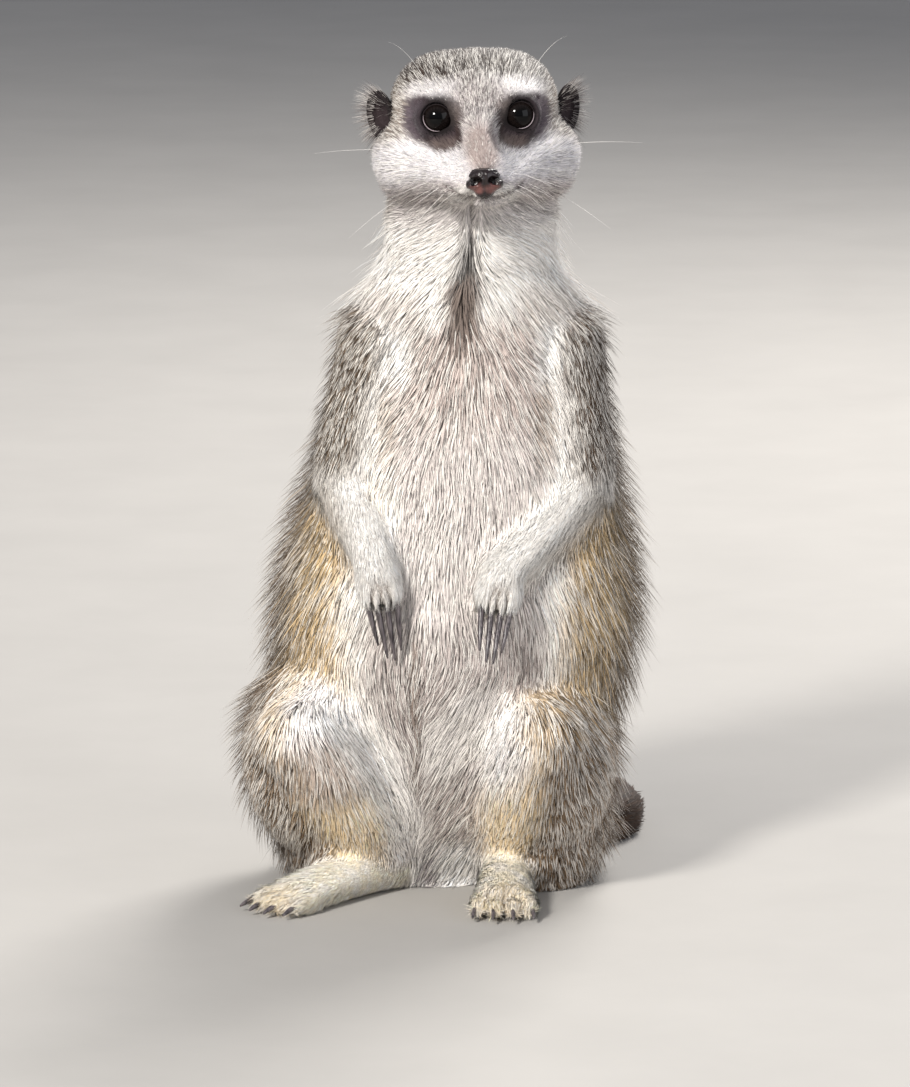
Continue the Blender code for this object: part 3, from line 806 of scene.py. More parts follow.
def region_shares(points, edges):
    """How far each skin point belongs to each region, from the nearest node of flesh."""
    corners, faces, owners = [], [], []
    for name, region in FLESH.items():
        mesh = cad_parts[name].data
        found = triangles_of(mesh) + len(corners)
        corners += [v.co / MM for v in mesh.vertices]
        faces += found.tolist()
        owners += [REGIONS.index(region)] * len(found)
    tree = BVHTree.FromPolygons(corners, faces)
    nearest = [owners[tree.find_nearest(p)[2]] for p in points.tolist()]
    return spread(np.eye(len(REGIONS))[nearest], edges, 10)


GAZE = unit(np.array((0.17, -1.0, 0.05)))  # out of the left eye, in the head's frame


def lid_angle(around):
    """Half-angle of the eye's opening (degrees) by direction round the eye: 0 outward, 90 up."""
    inner = np.exp(-(((np.degrees(around) % 360 - 208) / 24) ** 2))
    upper = ease(np.sin(around), 0.2, 1.0)
    return 49.0 + 9 * inner - 2.5 * upper


def eye_axes(side):
    """Gaze, outward and up for one eye, in the head's frame."""
    gaze = GAZE * (side, 1, 1)
    up = unit(np.array((0, 0, 1.0)) - gaze * gaze[2])
    outward = np.cross(up, gaze) * side
    if outward[0] * side < 0:
        outward = -outward
    return gaze, outward, up


def set_sockets(h):
    """Lays the skin round each eye into lids and a shallow bowl, in the head's frame."""
    for side in SIDES.values():
        gaze, outward, up = eye_axes(side)
        reach = h - EYE_PLACE * (side, 1, 1)
        ahead = reach @ gaze
        aside, above = reach @ outward, reach @ up
        off = np.hypot(aside, above)
        around = np.arctan2(above, aside)
        opening = np.radians(lid_angle(around))
        past = off - EYE_RADIUS * np.sin(opening)
        upper = ease(np.sin(around), -0.2, 0.6)
        bowl = EYE_RADIUS * np.cos(opening) + 0.15 + 0.42 * past + 0.085 * np.maximum(past, 0) ** 2
        bowl += (0.25 + 0.25 * upper) * np.exp(-(((past - 1.0) / 0.8) ** 2))
        bowl -= 0.45 * upper * np.exp(-(((past - 2.6) / 0.5) ** 2))
        excess = ahead - bowl
        over = 0.5 * (excess + np.sqrt(excess**2 + 0.36))
        close = ease(past, 4.0, 1.2)
        shift = close * excess + (1 - close) * over
        near = ease(ahead, -5, -2) * ease(off, 17, 13)
        h = h - gaze * (shift * near)[:, None]
    return h


def build_skin():
    """The skin: finer at face and toes, sunk by the coat's depth, with its folds and its fields."""
    mesh = raw_skin()
    for wanted in (on_face, near_eyes, on_toes):
        refine(mesh, wanted)
    points, edges = points_of(mesh), edges_of(mesh)
    points = spread(points, edges, 7)
    set_points(mesh, points)
    normals = normals_of(mesh)
    shares = region_shares(points, edges)
    depth = spread(coat_of(points, normals, shares)[0], edges, 12)
    points = points - spread(normals, edges, 6) * depth[:, None]
    points = spread(points, edges, 3)
    head = share_of(shares, "face") > 0.5
    h = in_head(points)
    h = h - normals @ HEAD_AXES * (mouth_share(h) * MOUTH_DEPTH)[:, None]
    points[head] = from_head(set_sockets(h))[head]
    slit = streak_share(points) * ease(points[:, 2], 198, 210)
    points -= normals * (digit_gaps(points) * GAP_DEPTH + slit * SLIT_DEPTH)[:, None]
    points[:, 2] = np.maximum(points[:, 2], SKIN_FLOOR)
    set_points(mesh, points)
    normals = normals_of(mesh)
    way = spread(lie(points, shares), edges, 14)
    way = unit(way - normals * (way * normals).sum(1)[:, None])
    _, length, lift, width = coat_of(points, normals, shares)
    look = markings(points, shares)
    # dark between the digits near their ends: painted shade in the gaps between the toes
    base_with_toe_gap_shade = toward(look.base, srgb(0.40, 0.33, 0.28), digit_gaps(points) * 0.75)
    look = look._replace(base=base_with_toe_gap_shade)
    # the skin takes its coat's colours, darkened by SKIN_SHADE: painted shade under the locks, and
    # the darker undercoat
    colour_points(mesh, look.base * SKIN_SHADE)
    smooth(mesh)
    return Skin(mesh, points, normals, triangles_of(mesh), shares, way, length, lift, width, look)


# ---------------- locks of hair
# A lock's rings, each of three points: its place along the lock and its share of the width.
SPIKE = ((0.0, 1.0),)
LOCK = ((0.38, 1.0),)
LONG_LOCK = ((0.25, 0.9), (0.62, 0.8))
ROUNDING = 0.55  # how far a lock's normals lean to its sides
PATCH_SIZE = 0.003  # how wide each lock is on the bake map

Roots = namedtuple("Roots", "place normal way length lift width base dark light")
# A style sets factors on the length and width that the skin gives, degrees of lift to add, the
# bend toward the skin, clumps per lock, how far the tips gather in them and the banded share.
Style = namedtuple("Style", "rings long lift wide bend clumps gather banded")
BODY = Style(LOCK, 1.0, 0, 1.0, 0.22, 0.09, 0.6, 0.35)
FINE = Style(SPIKE, 1.0, 0, 1.0, 0.2, 0.06, 0.5, 0.12)
GUARD = Style(LONG_LOCK, 1.6, 9, 0.62, 0.15, 0.33, 0.5, 0.85)


def sow(skin, weight, count, rng):
    """Random roots on the skin, as dense as weight says: skin fields at each root."""
    a, b, c = (skin.points[skin.triangles[:, k]] for k in range(3))
    area = norm(np.cross(b - a, c - a)) / 2
    mass = np.cumsum(area * weight[skin.triangles].mean(1))
    strata = (np.arange(count) + rng.random(count)) / count * mass[-1]
    chosen = skin.triangles[np.searchsorted(mass, strata)]
    u, v = np.sqrt(rng.random(count)), rng.random(count)
    mix = np.column_stack([1 - u, u * (1 - v), u * v])
    fields = (skin.points, skin.normals, skin.way, skin.length, skin.lift, skin.width, *skin.look)
    roots = Roots(*(np.einsum("nk,nk...->n...", mix, field[chosen]) for field in fields))
    return roots._replace(normal=unit(roots.normal), way=unit(roots.way))


def clumped(roots, spacing, rng):
    """For each root, the way to the middle of its clump, along the skin."""
    count = max(int(len(roots.place) * spacing), 1)
    picked = roots.place[rng.choice(len(roots.place), count, replace=False)]
    tree = KDTree(count)
    for i, place in enumerate(picked.tolist()):
        tree.insert(place, i)
    tree.balance()
    pull = picked[[tree.find(p)[1] for p in roots.place.tolist()]] - roots.place
    return pull - roots.normal * (pull * roots.normal).sum(1)[:, None]


def each_point(rings, root, ring, tip):
    """A value for each point of a lock: three in each ring and one at the tip. Where the first
    ring isn't at the root, the lock starts in a point of its own."""
    values = [root] if rings[0][0] > 0 else []
    for s, share in rings:
        values += ring(s, share)
    return [*values, tip]


def lock_points(roots, length, lift, width, bend, pull, rings):
    """Points of closed pointed locks, in shape (locks, points, 3)."""
    across = np.cross(roots.way, roots.normal)
    slope = np.radians(lift)

    def spine(s):
        rise = length * (np.sin(slope) * s - bend * s * s) - 0.3 * (s == 0)
        ahead = length * np.cos(slope) * s
        straight = roots.place + roots.way * ahead[:, None] + roots.normal * rise[:, None]
        return straight + pull * s**1.5

    def ring(s, share):
        middle = spine(s)
        half = (width * share / 2)[:, None]
        return [middle - across * half, middle + roots.normal * half * 0.9, middle + across * half]

    return np.stack(each_point(rings, spine(0), ring, spine(1.0)), axis=1)


def lock_normals(roots, rings):
    """Normals that light each lock like the coat it lies in, a little rounded across."""
    across = np.cross(roots.way, roots.normal)
    ahead = roots.normal + roots.way * 0.15
    three = [ahead - across * ROUNDING, ahead, ahead + across * ROUNDING]
    return unit(np.stack(each_point(rings, roots.normal, lambda *_: three, ahead), axis=1))


def lock_faces(rings):
    """Faces of one such lock, all outward."""
    first = 1 if rings[0][0] > 0 else 0
    faces = [] if first else [(2, 1, 0)]
    last = first + 3 * (len(rings) - 1)
    for k in range(3):
        n = (k + 1) % 3
        if first:
            faces.append((0, 1 + n, 1 + k))
        for low in range(first, last, 3):
            high = low + 3
            faces += [(low + k, low + n, high + n), (low + k, high + n, high + k)]
        faces.append((last + k, last + n, last + 3))
    return np.array(faces)


def lock_colours(roots, rings, rng, banded):
    """A colour for each point of each lock: a root darkened by painted shade, its own tone, then a
    dark or silver tip.

    Banded locks are dark along their middle and silver at the tip.
    """
    count = len(roots.place)
    spots = waves(roots.place, 1.9, 62)
    tone = 1 + 0.14 * rng.normal(size=(count, 1)) + 0.10 * waves(roots.place, 7, 61)[:, None]
    own = np.clip(roots.base * tone, 0.005, 1)
    kind = rng.random(count)
    dark = (kind < roots.dark * (1 + 1.1 * spots))[:, None]
    light = (kind > 1 - roots.light * (1 - 0.8 * spots))[:, None]
    deep = (own * 0.3 + DARK * 0.4) * rng.uniform(0.6, 1.4, (count, 1))
    tip = np.where(dark, deep, np.where(light, SILVER, own * 1.05))
    band = (rng.random(count) < banded * np.clip(9 * roots.dark * roots.light, 0, 1))[:, None]
    belt = own * 0.35 + DARK * 0.4
    tip = np.where(band, SILVER, tip)

    def ring(s, _):
        # the factor that rises from 0.82 at the root to 1 paints shade on the lower part of the
        # lock
        body = (own + (tip - own) * (0.42 + 0.4 * s)) * (0.82 + 0.18 * min(s / 0.4, 1))
        return [np.where(band, belt, body)] * 3

    # own * 0.65 at the root is painted shade near the skin
    return np.stack(each_point(rings, own * 0.65, ring, own + (tip - own) * 0.9), axis=1)


def lock_patches(where, rings):
    """Bake places: each lock is one small patch at its root's place on the unwrap."""

    def ring(s, _):
        return [(side, 2 * s - 1) for side in (-1, 0, 1)]

    shape = np.array(each_point(rings, (0, -1), ring, (0, 1)))
    return where[:, None, :] + shape[None] * (PATCH_SIZE / 2)


def grow(name, skin, weight, count, unwrap, material, slot, seed, style):
    """One piece of the coat."""
    rng = np.random.default_rng(seed)
    roots = sow(skin, weight, count, rng)
    swirl = 0.07 * rng.normal(size=count) + 0.15 * waves(roots.place, 22, seed + 1)
    swirl += 0.10 * waves(roots.place, 6, seed + 2)
    across = np.cross(roots.normal, roots.way)
    roots = roots._replace(way=unit(roots.way + across * swirl[:, None]))
    pull = clumped(roots, style.clumps, rng) * style.gather
    length = roots.length * rng.uniform(0.75, 1.2, count) * style.long
    lift = roots.lift + rng.normal(size=count) * 4 + style.lift
    width = roots.width * rng.uniform(0.75, 1.2, count) * style.wide
    points = lock_points(roots, length, lift, width, style.bend, pull, style.rings)
    points[..., 2] = np.maximum(points[..., 2], HAIR_FLOOR)
    colours = lock_colours(roots, style.rings, rng, style.banded)
    patches = lock_patches(spread_out(unwrap(roots.place)), style.rings)
    firsts = np.arange(count)[:, None, None] * points.shape[1]
    faces = (lock_faces(style.rings)[None] + firsts).reshape(-1, 3)
    flat_points, flat_colours = points.reshape(-1, 3), colours.reshape(-1, 3)
    mesh = mesh_from(name, flat_points, faces, flat_colours, patches.reshape(-1, 2))
    normals = lock_normals(roots, style.rings)
    mesh.normals_split_custom_set_from_vertices(normals.reshape(-1, 3))
    piece(name, mesh, material, slot)


# ---------------- unwraps of the skin, for the bake map
def spread_out(places):
    """Scales an unwrap to fill the map, with room for the patches at its edges."""
    low, high = places.min(0), places.max(0)
    return 0.005 + 0.99 * (places - low) / (high - low)


def round_axis(start, end):
    """An unwrap round a bone: angle, then distance along it."""
    bone = unit(np.array(end) - start)
    side = unit(np.cross(bone, (0.3, 1, 0.2)))
    other = np.cross(bone, side)

    def unwrap(p):
        offset = p - start
        return np.column_stack([np.arctan2(offset @ side, offset @ other), offset @ bone])

    return unwrap


def round_head(p):
    """An unwrap of the head as a globe."""
    h = in_head(p) - (0, -4, -3)
    return np.column_stack([np.arctan2(h[:, 0], -h[:, 1]), np.arcsin(unit(h)[:, 2])])


def round_tail(p):
    """An unwrap of the tail: distance along it, then angle."""
    share, way = tail_share(p), tail_way(p)
    i = share * (len(TAIL_PATH) - 1)
    middle = np.column_stack([np.interp(i, range(len(TAIL_PATH)), line) for line in TAIL_PATH.T])
    side = (p[:, 0] - middle[:, 0]) * -way[:, 1] + (p[:, 1] - middle[:, 1]) * way[:, 0]
    along = share + 0.02 * (p[:, :2] @ (0.6, 0.8)) / 9
    return np.column_stack([along, np.arctan2(p[:, 2] - 8, side)])


# ---------------- materials
def fill(node, settings):
    """Sets a node's sockets and properties. A socket is linked where its value is a socket too."""
    for key, value in settings.items():
        if key not in node.inputs:
            setattr(node, key, value)
        elif isinstance(value, bpy.types.NodeSocket):
            node.id_data.links.new(value, node.inputs[key])
        else:
            node.inputs[key].default_value = value
    return node


def new_material(name, roughness, specular):
    """A material, its shader and a tool that adds nodes."""
    made = bpy.data.materials.new(name)
    made.use_nodes = True
    nodes = made.node_tree.nodes
    shader = nodes["Principled BSDF"]
    fill(shader, {"Roughness": roughness, "Specular IOR Level": specular})

    def add(kind, **settings):
        return fill(nodes.new(kind), settings)

    return made, shader, add


def speckle(add, scale, detail=4.0):
    """Noise in the object's own space. scale is in swells per metre."""
    place = add("ShaderNodeTexCoord").outputs["Object"]
    noise = add("ShaderNodeTexNoise", Vector=place, Scale=scale, Detail=detail, Roughness=0.6)
    return noise.outputs["Fac"]


def varied(add, colour, factor, low, high):
    """The colour made darker or lighter by a factor, from low to high times."""
    tone = fill(add("ShaderNodeMapRange", Value=factor), {"From Min": 0.3, "From Max": 0.7})
    fill(tone, {"To Min": low, "To Max": high})
    scaled = add("ShaderNodeVectorMath", operation="SCALE", Vector=colour, Scale=tone.outputs[0])
    return scaled.outputs[0]


def add_relief(add, shader, height, strength, depth):
    bump = add("ShaderNodeBump", Height=height, Strength=strength, Distance=depth)
    fill(shader, {"Normal": bump.outputs[0]})


def coloured(name, gloss, noise, tones, relief=None, pebbles=None, coat=None, sheen=None):
    """A material in the mesh's own colours, made uneven by fine noise. gloss is its roughness and
    specular level.

    noise is its swells per metre and its detail, tones the least and the greatest factor on the
    colour, relief the strength and depth (m) of a bump from the noise or from pebbles (cells per
    metre), coat and sheen the weight and roughness of each.
    """
    made, shader, add = new_material(name, *gloss)
    colour = add("ShaderNodeAttribute", attribute_name="coat_colour").outputs["Color"]
    height = speckle(add, *noise)
    fill(shader, {"Base Color": varied(add, colour, height, *tones)})
    if pebbles:
        place = add("ShaderNodeTexCoord").outputs["Object"]
        cells = add("ShaderNodeTexVoronoi", Vector=place, Scale=pebbles, feature="SMOOTH_F1")
        height = cells.outputs["Distance"]
    if relief:
        add_relief(add, shader, height, *relief)
    for layer, values in (("Coat", coat), ("Sheen", sheen)):
        if values:
            fill(shader, {f"{layer} Weight": values[0], f"{layer} Roughness": values[1]})
    return made


def hair_material(name, roughness, sheen=None):
    return coloured(name, (roughness, 0.25), (900, 4.0), (0.86, 1.12), sheen=sheen)


def horn_material():
    made, shader, add = new_material("claw_horn", 0.32, 0.5)
    place = add("ShaderNodeTexCoord").outputs["Object"]
    stretched = add("ShaderNodeMapping", Vector=place, Scale=(1, 1, 0.12)).outputs[0]
    grain = add("ShaderNodeTexNoise", Vector=stretched, Scale=1500.0, Detail=5.0).outputs["Fac"]
    ramp = add("ShaderNodeValToRGB", Fac=grain)
    dark, light = ramp.color_ramp.elements
    dark.position, dark.color = 0.35, (0.016, 0.012, 0.014, 1)
    light.position, light.color = 0.72, (0.17, 0.145, 0.15, 1)
    fill(shader, {"Base Color": ramp.outputs[0]})
    add_relief(add, shader, grain, 0.35, 0.0002)
    return made


# ---------------- eyes, lids, nose, ears, claws, whiskers
def grid_faces(rows, columns):
    """Quads of a grid of points that closes on itself along each row."""
    corner = np.arange(rows * columns).reshape(rows, columns)
    after = np.roll(corner, -1, axis=1)
    return np.stack([corner[:-1], after[:-1], after[1:], corner[1:]], axis=-1).reshape(-1, 4)


def capped_grid(name, points, columns, colours):
    """A closed mesh from a grid of points in the head's frame. Its end rows are filled."""
    faces = grid_faces(len(points) // columns, columns)
    mesh = mesh_from(name, from_head(points), faces, np.broadcast_to(colours, points.shape))
    with reshaped(mesh) as shape:
        corners = shape.verts[:]
        shape.faces.new(corners[:columns])
        shape.faces.new(corners[-columns:])
        bmesh.ops.recalc_face_normals(shape, faces=shape.faces[:])
    smooth(mesh)
    return mesh


def globe(rows, columns, end):
    """Angles of a grid on a ball, from pole to pole but for end at each of them, and round it."""
    polar = np.linspace(end, math.pi - end, rows)[:, None]
    return polar, np.linspace(0, 2 * math.pi, columns, endpoint=False)[None]


def eyeball(name, side, material):
    """An eyeball with a slight cornea: pupil, rayed iris, dark rim."""
    gaze, outward, up = eye_axes(side)
    polar, round_ = globe(49, 64, 0.02)
    bulge = EYE_RADIUS + 0.25 * np.exp(-((polar / 0.8) ** 2))
    ray = (
        np.cos(polar)[..., None] * gaze
        + (np.sin(polar) * np.cos(round_))[..., None] * outward
        + (np.sin(polar) * np.sin(round_))[..., None] * up
    )
    points = EYE_PLACE * (side, 1, 1) + ray * bulge[..., None]
    angle = np.degrees(polar) + 0 * round_
    rays = 0.8 + 0.35 * np.sin(round_ * 29 + 2 * np.sin(round_ * 7))
    iris = srgb(0.08, 0.062, 0.058) * (rays * ease(angle, 16, 38) + 0.3)[..., None]
    pupil = (angle < 19.0 + 3.0 * np.cos(round_) ** 2)[..., None]
    colour = np.where(pupil, srgb(0.012, 0.011, 0.014), iris)
    colour = colour + (srgb(0.03, 0.02, 0.02) - colour) * ease(angle, 38, 52)[..., None]
    mesh = capped_grid(name, points.reshape(-1, 3), 64, colour.reshape(-1, 3))
    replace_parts(piece(name, mesh, material, "eye"), name.replace("_ball", ""))


def lid_bead(side, past, thick, first, last, colour):
    """A bead along the eye's opening from first to last (degrees), thickest halfway."""
    gaze, outward, up = eye_axes(side)
    columns, rows = 8, 96
    round_ = np.radians(np.linspace(first, last, rows))
    opening = np.radians(lid_angle(round_) + past)[:, None]
    aside = np.cos(round_)[:, None] * outward + np.sin(round_)[:, None] * up
    ray = np.cos(opening) * gaze + np.sin(opening) * aside
    centres = ray * (EYE_RADIUS + 0.22)
    across = np.cross(unit(np.gradient(centres, axis=0)), ray)
    turns = np.linspace(0, 2 * math.pi, columns, endpoint=False)
    girth = thick * np.sin(np.linspace(0.04, math.pi - 0.04, rows)) ** 0.6
    bead = centres[:, None] + ray[:, None] * (np.cos(turns) * girth[:, None])[..., None]
    bead += across[:, None] * (np.sin(turns) * girth[:, None])[..., None]
    return capped_grid("bead", (bead + EYE_PLACE * (side, 1, 1)).reshape(-1, 3), columns, colour)


def ear_axes(side):
    return turned(side * EAR_TURN[0], side * EAR_TURN[1])


def on_ear(side, local):
    """Places on one ear in the head's frame, from places on a left ear that faces outward."""
    return (local * (side, 1, 1)) @ ear_axes(side).T + EAR_PLACE * (side, 1, 1)


def ear(side):
    """A low rounded ear: a cup with a thick rim and two folds inside."""
    polar, round_ = globe(36, 56, 0.03)
    out = np.cos(polar) + 0 * round_
    fore = np.sin(polar) * np.cos(round_)
    high = np.sin(polar) * np.sin(round_)
    reach = np.sqrt((fore + 0.12) ** 2 + high**2)
    hollow = ease(reach, 0.82, 0.45) * (out > 0)
    fold = np.exp(-(((reach - 0.42 - 0.1 * high) / 0.09) ** 2)) * (fore > -0.3) * (out > 0)
    depth = out * 2.8 - hollow * 3.6 + fold * 1.2
    local = np.stack([depth, fore * 7.5, high * 8.5], -1).reshape(-1, 3)
    colour = painted(srgb(0.11, 0.085, 0.09), (srgb(0.22, 0.18, 0.19), hollow.ravel() * 0.6))
    return capped_grid("ear", on_ear(side, local), 56, colour)


def nose(material):
    """The bare nose: the solid's own form made fine, with comma nostrils and a groove."""
    mesh = modified(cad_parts["nose"].data.copy(), fuse(NOSE_VOXEL))
    points = spread(points_of(mesh), edges_of(mesh), 8)
    set_points(mesh, points)
    normals = normals_of(mesh) @ HEAD_AXES
    h = in_head(points)
    x, y, z = h.T
    groove = np.exp(-((x / 0.4) ** 2)) * ease(y, -54, -56) * ease(z, -7.5, -10)
    left = mirrored(h)
    hole = within(left, (2.9, -57.0, -10.2), (1.7, 3.0, 1.35), 0.3)
    slit = within(left, (4.7, -55.5, -9.6), (1.6, 3.0, 0.7), 0.4)
    base = painted(
        srgb(0.11, 0.075, 0.08),
        (srgb(0.46, 0.29, 0.27), within(left, (2.4, -57, -12.8), (2.1, 4, 1.5), 0.5) * 0.7),
        # near black in the nostrils, which are also sunk: painted shade in the holes
        (BLACK * 0.4, np.clip(hole * ease(z, -11.2, -10.4) + slit, 0, 1)),
    )
    h = h - normals * (groove * 0.5 + hole * 1.5 + slit * 0.9)[:, None]
    h = h - normals * (1.2 * ease(y, -54.5, -52.5))[:, None]
    h[:, 0] *= 0.93 + 0.24 * ease(h[:, 2], -9.5, -13.5)
    h[:, 2] = np.minimum(h[:, 2], -6.8 + 0.3 * (h[:, 2] + 6.8))
    set_points(mesh, from_head(h))
    colour_points(mesh, base)
    smooth(mesh)
    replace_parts(piece("nose_pad", mesh, material, "nose_skin"), "nose")


def claws(material):
    """Each CAD claw, rounded, as a piece of its own."""
    for name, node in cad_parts.items():
        if "claw" in name:
            mesh = joined(name, [node.data], 0.005)
            rounder = "SUBSURF", {"levels": 2, "render_levels": 2}
            mesh = modified(mesh, swell(GIRTH_KEPT), rounder)
            smooth(mesh)
            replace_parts(piece(name + "_horn", mesh, material, "claw_horn"), name)


def hair(start, way, length, droop, width, sides, steps):
    """Points of one tapered hair that bends down along its length."""
    start, way = np.array(start, float), unit(np.array(way, float))
    side = unit(np.cross(way, (0, 0, 1)))
    points = []
    for s in np.linspace(0, 1, steps):
        middle = start + way * length * s + np.array((0, 0, -1.0)) * droop * length * s * s
        radius = width / 2 * (1 - 0.88 * s)
        for turn in np.linspace(0, 2 * math.pi, sides, endpoint=False):
            round_ = side * math.cos(turn) + np.cross(way, side) * math.sin(turn)
            points.append(middle + round_ * radius)
    return np.array(points)


def hairs(name, strands, sides, steps, colours, material, slot):
    """One piece of single hairs, whose points are in the head's frame."""
    firsts = np.arange(len(strands))[:, None, None] * (sides * steps)
    faces = (grid_faces(steps, sides)[None] + firsts).reshape(-1, 4)
    mesh = mesh_from(name, from_head(np.concatenate(strands)), faces, colours)
    piece(name, mesh, material, slot)


def fringe(material):
    """Fine hairs that stand out round each ear, pale with some dark."""
    rng = np.random.default_rng(91)
    sides, steps, per_ear = 3, 3, 520
    strands, shares = [], []
    for side in SIDES.values():
        for _ in range(per_ear):
            round_ = rng.normal(0, 1.2)
            deep = rng.uniform(-0.9, 0.75)
            rim = np.array((deep * 2.4, math.cos(round_) * 7.2, math.sin(round_) * 8.1))
            around = rim * math.sqrt(1 - 0.6 * deep * deep)
            if rng.random() < 0.3:
                around[1:] *= rng.uniform(0.45, 0.95)
                around[0] = 1.0
            out = unit(around * (0.4, 1, 1) + (2.5, 0, 0) + rng.normal(size=3) * 0.9)
            way = (out * (side, 1, 1)) @ ear_axes(side).T + (side * 0.5, 0, 0)
            length = rng.uniform(1.5, 6.5)
            strands.append(hair(on_ear(side, around), way, length, 0.12, 0.16, sides, steps))
            shares.append(rng.random() ** 1.6)
    colours = painted(srgb(0.30, 0.26, 0.26), (srgb(0.88, 0.86, 0.84), np.array(shares)))
    colours = np.repeat(colours, sides * steps, axis=0)
    hairs("ear_fringe", strands, sides, steps, colours, material, "ear_coat")


def whiskers(material):
    """Whiskers of muzzle, brows and cheeks, white with dark roots."""
    rng = np.random.default_rng(77)
    sides, steps = 5, 9
    strands = []

    def whisker(side, place, way, length, droop):
        place, way = np.array(place) * (side, 1, 1), np.array(way) * (side, 1, 1)
        strands.append(hair(place, way, length, droop, 0.15, sides, steps))

    for side in SIDES.values():
        for row in range(3):
            for k in range(3):
                place = (7.0 + k * 2.3, -47 + k * 5.0, -9.5 - row * 2.0)
                way = (0.75 + 0.05 * k, -0.2 + 0.2 * k, 0.05 - 0.24 * row + rng.normal() * 0.12)
                whisker(side, place, way, rng.uniform(7, 16) + 3 * k, 0.16)
        whisker(side, (15, -28, 15.5), (0.45, -0.2, 0.95), 31, 0.38)
        whisker(side, (12, -29, 15.5), (0.25, -0.3, 0.9), 15, 0.16)
        whisker(side, (28, -16, -5), (0.95, -0.15, 0.08), 24, 0.08)
        whisker(side, (24, -16, -20), (0.8, -0.15, -0.45), 20, 0.12)
        whisker(side, (20, -14, -26), (0.75, -0.15, -0.7), 18, 0.10)
    along = ease(np.repeat(np.linspace(0, 1, steps), sides), 0.05, 0.3)
    colours = painted(srgb(0.45, 0.40, 0.38), (srgb(0.95, 0.94, 0.92), along))
    colours = np.tile(colours, (len(strands), 1))
    hairs("whiskers", strands, sides, steps, colours, material, "face_coat")


# ---------------- assembly
def bare_places(skin):
    """Where no hair grows: the open eyes, the nose pad and the ears."""
    h = in_head(skin.points)
    left = mirrored(h)
    reach = left - EYE_PLACE
    gaze, outward, up = eye_axes(1)
    ray = unit(reach)
    angle = np.degrees(np.arccos(np.clip(ray @ gaze, -1, 1)))
    around = np.arctan2(ray @ up, ray @ outward)
    eye = (norm(reach) < 9) & (angle < lid_angle(around) + 0.5)
    cup = within(left, (30.5, -3, 3.8), (3.5, 6, 7), 0.3)
    return np.clip(eye + nose_bed(h) + cup, 0, 1)


def dress(skin):
    """All pieces of the coat."""
    face_hair = hair_material("face_hair", 0.6, (0.06, 0.5))
    body_hair = hair_material("body_hair", 0.62, (0.06, 0.5))
    ahead = in_head(skin.points)[:, 1]
    x, y, z = skin.points.T

    def share(*regions):
        return share_of(skin.shares, *regions)

    face = share("face") * (1 - bare_places(skin))
    facing = ease(ahead, -8, -14)
    front = face * facing * (1 + 0.6 * ease(ahead, -26, -40))
    hidden = 1 - 0.85 * ease(skin.normals[:, 2], -0.6, -0.95) * ease(z, 5, 2)
    trunk = share("trunk") * hidden
    belly = ease(y, -14, -20)
    upright = round_axis((4, -6, 0), (11, -12, 200))
    pieces = [
        ("coat_face", front, 48000, round_head, "face_coat", FINE),
        ("coat_head", face * (1 - facing), 36000, round_head, "face_coat", FINE),
        ("coat_neck", share("neck"), 15000, upright, "pale_coat", BODY),
        ("coat_belly", trunk * belly, 32000, upright, "pale_coat", BODY),
        ("coat_back", trunk * (1 - belly), 28000, upright, "grizzled_coat", BODY),
        ("coat_tail", share("tail") * hidden, 10000, round_tail, "grizzled_coat", BODY),
    ]
    for name, sign in SIDES.items():
        here = ((x < MIDDLE) if sign < 0 else (x >= MIDDLE)) * hidden
        along_arm = round_axis(ARMS[name].shoulder, ARMS[name].tips)
        along_leg = round_axis(LEGS[name].hip, LEGS[name].toes)
        arm, leg = share("upper_arm") * here, share("thigh", "shank") * here
        paw = (share("forearm") + 1.8 * share("paw")) * here
        foot = share("foot") * here
        pieces += [
            (f"coat_arm_{name}", arm, 10000, along_arm, "pale_coat", BODY),
            (f"coat_forearm_{name}", paw, 12500, along_arm, "pale_coat", FINE),
            (f"coat_leg_{name}", leg, 18000, along_leg, "grizzled_coat", BODY),
            (f"coat_foot_{name}", foot, 7500, along_leg, "foot_coat", FINE),
        ]
    for k, (name, weight, count, unwrap, slot, style) in enumerate(pieces):
        material = face_hair if slot == "face_coat" else body_hair
        grow(name, skin, weight, count, unwrap, material, slot, 100 + 10 * k, style)
    outside = ease(y, -38, -14) * share("trunk", "thigh", "shank", "upper_arm")
    outside = outside * ease(z, 3, 12) * hidden + 0.4 * share("neck") * ease(y, -34, -10)
    grow("coat_guard_hairs", skin, outside, 12000, upright, body_hair, "grizzled_coat", 500, GUARD)


def dress_skin(skin):
    """The skin as one piece with both ears and the lid margins."""
    extra = []
    for side in SIDES.values():
        extra += [
            lid_bead(side, 0.8, 0.24, -130, 226, srgb(0.11, 0.08, 0.085)),
            # the light bead along the lower lid is a painted highlight: the shine of the wet margin
            lid_bead(side, -1.6, 0.15, 258, 372, srgb(0.62, 0.57, 0.59)),
            ear(side),
        ]
    for mesh in extra:
        mesh.polygons.foreach_set("material_index", np.ones(len(mesh.polygons), np.int32))
    under_coat = coloured("skin_under_coat", (0.8, 0.2), (1600, 6), (0.7, 1.25), (0.5, 0.0004))
    bare = coloured("bare_dark_skin", (0.3, 0.5), (1200, 5), (0.7, 1.3), (0.4, 0.0003))
    obj = piece("skin", joined("skin", [skin.mesh, *extra]), under_coat, "face_coat")
    obj.data.materials.append(bare)
    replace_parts(obj, *FLESH, "ear_left", "ear_right")


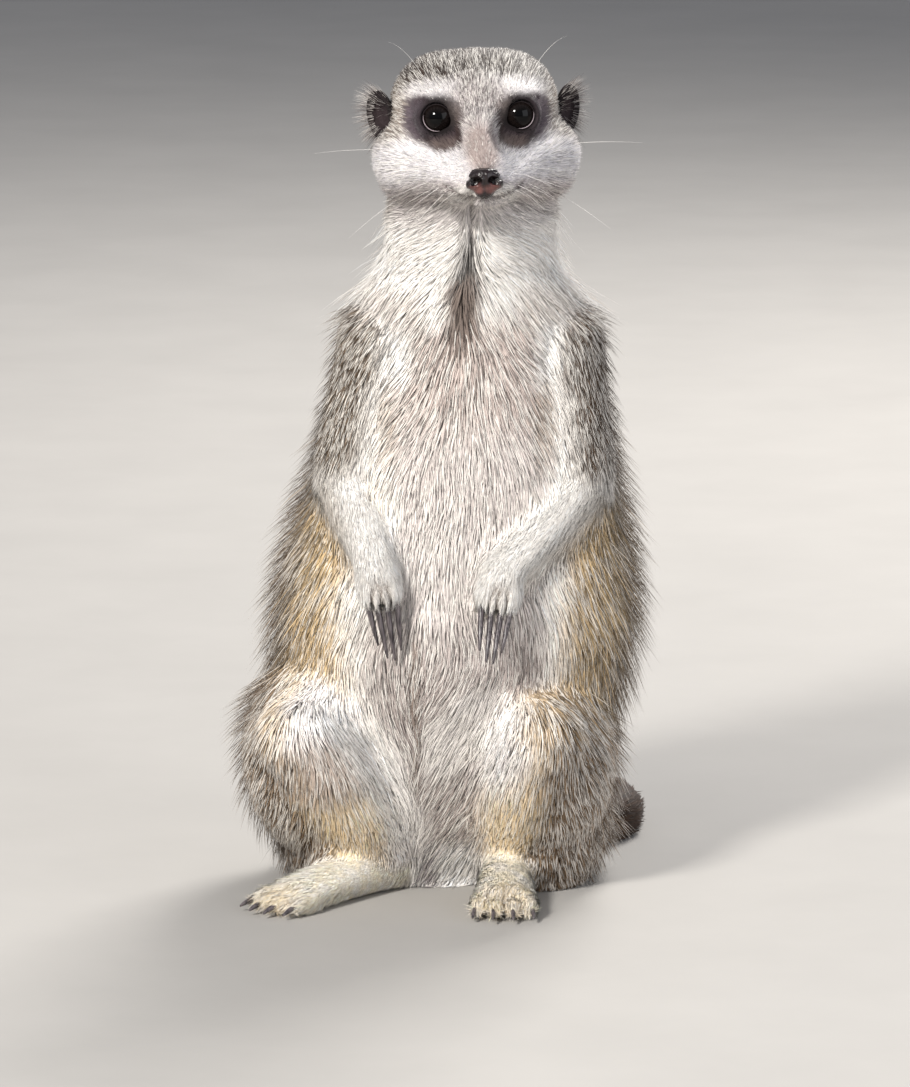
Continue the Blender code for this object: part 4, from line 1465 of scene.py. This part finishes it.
def studio():
    """Camera at the photograph's angle and soft light from the upper left."""
    scene = bpy.context.scene
    target = Vector((5.8, -20.0, 111.4)) * MM
    elevation, distance = math.radians(10.5), 2.5
    sensor, view_height = 36, 347.84  # mm: the frame's longer side on the sensor and at the target
    camera = placed("camera", bpy.data.cameras.new("camera"))
    camera.data.lens = sensor * distance * 1000 / view_height
    camera.data.clip_start, camera.data.clip_end = 0.05, 50
    away = Vector((0, -math.cos(elevation), math.sin(elevation)))
    camera.location = target + away * distance
    camera.rotation_euler = (math.pi / 2 - elevation, 0, 0)
    bpy.context.scene.camera = camera
    scene.view_settings.view_transform = "Standard"

    scene.world = bpy.data.worlds.new("studio")
    scene.world.use_nodes = True
    background = scene.world.node_tree.nodes["Background"]
    fill(background, {"Color": (0.86, 0.90, 1.0, 1), "Strength": 0.36})
    for name, place, size, power, colour in (
        ("key", (-0.85, -1.45, 1.15), 0.35, 50, (1.0, 0.97, 0.92)),
        ("fill", (1.3, -1.1, 0.6), 1.2, 9, (0.94, 0.96, 1.0)),
        ("rim", (0.5, 1.1, 1.2), 0.6, 32, (1.0, 0.97, 0.93)),
    ):
        light = placed(name, bpy.data.lights.new(name, "AREA"))
        light.data.size, light.data.energy, light.data.color = size, power, colour
        light.location = place
        light.rotation_euler = (target - Vector(place)).to_track_quat("-Z", "Y").to_euler()


def floor():
    """A pale floor, wide enough to fill every view."""
    mesh = bpy.data.meshes.new("floor")
    with reshaped(mesh) as shape:
        bmesh.ops.create_grid(shape, x_segments=2, y_segments=2, size=12.0)
    made, shader, add = new_material("floor", 0.7, 0.2)
    pale = varied(add, (0.40, 0.385, 0.365), speckle(add, 14), 0.97, 1.03)
    fill(shader, {"Base Color": pale})
    mesh.materials.append(made)
    placed("floor", mesh)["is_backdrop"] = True


def main():
    studio()
    floor()
    skin = build_skin()
    dress_skin(skin)
    dress(skin)
    wet = coloured("wet_eye", (0.3, 0.0), (2600, 4.0), (0.75, 1.25), coat=(0.32, 0.02))
    for name, side in SIDES.items():
        eyeball(f"eye_{name}_ball", side, wet)
    moist = {"relief": (0.7, 0.0004), "pebbles": 1500.0, "coat": (0.3, 0.15)}
    nose(coloured("nose_skin", (0.3, 0.35), (700, 4.0), (0.7, 1.3), **moist))
    claws(horn_material())
    long_hair = hair_material("whisker_hair", 0.4)
    whiskers(long_hair)
    fringe(long_hair)
    boxes = {"cad": CAD_BOX, "visual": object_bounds()}
    boxes = {name: [list(corner) for corner in box] for name, box in boxes.items()}


main()
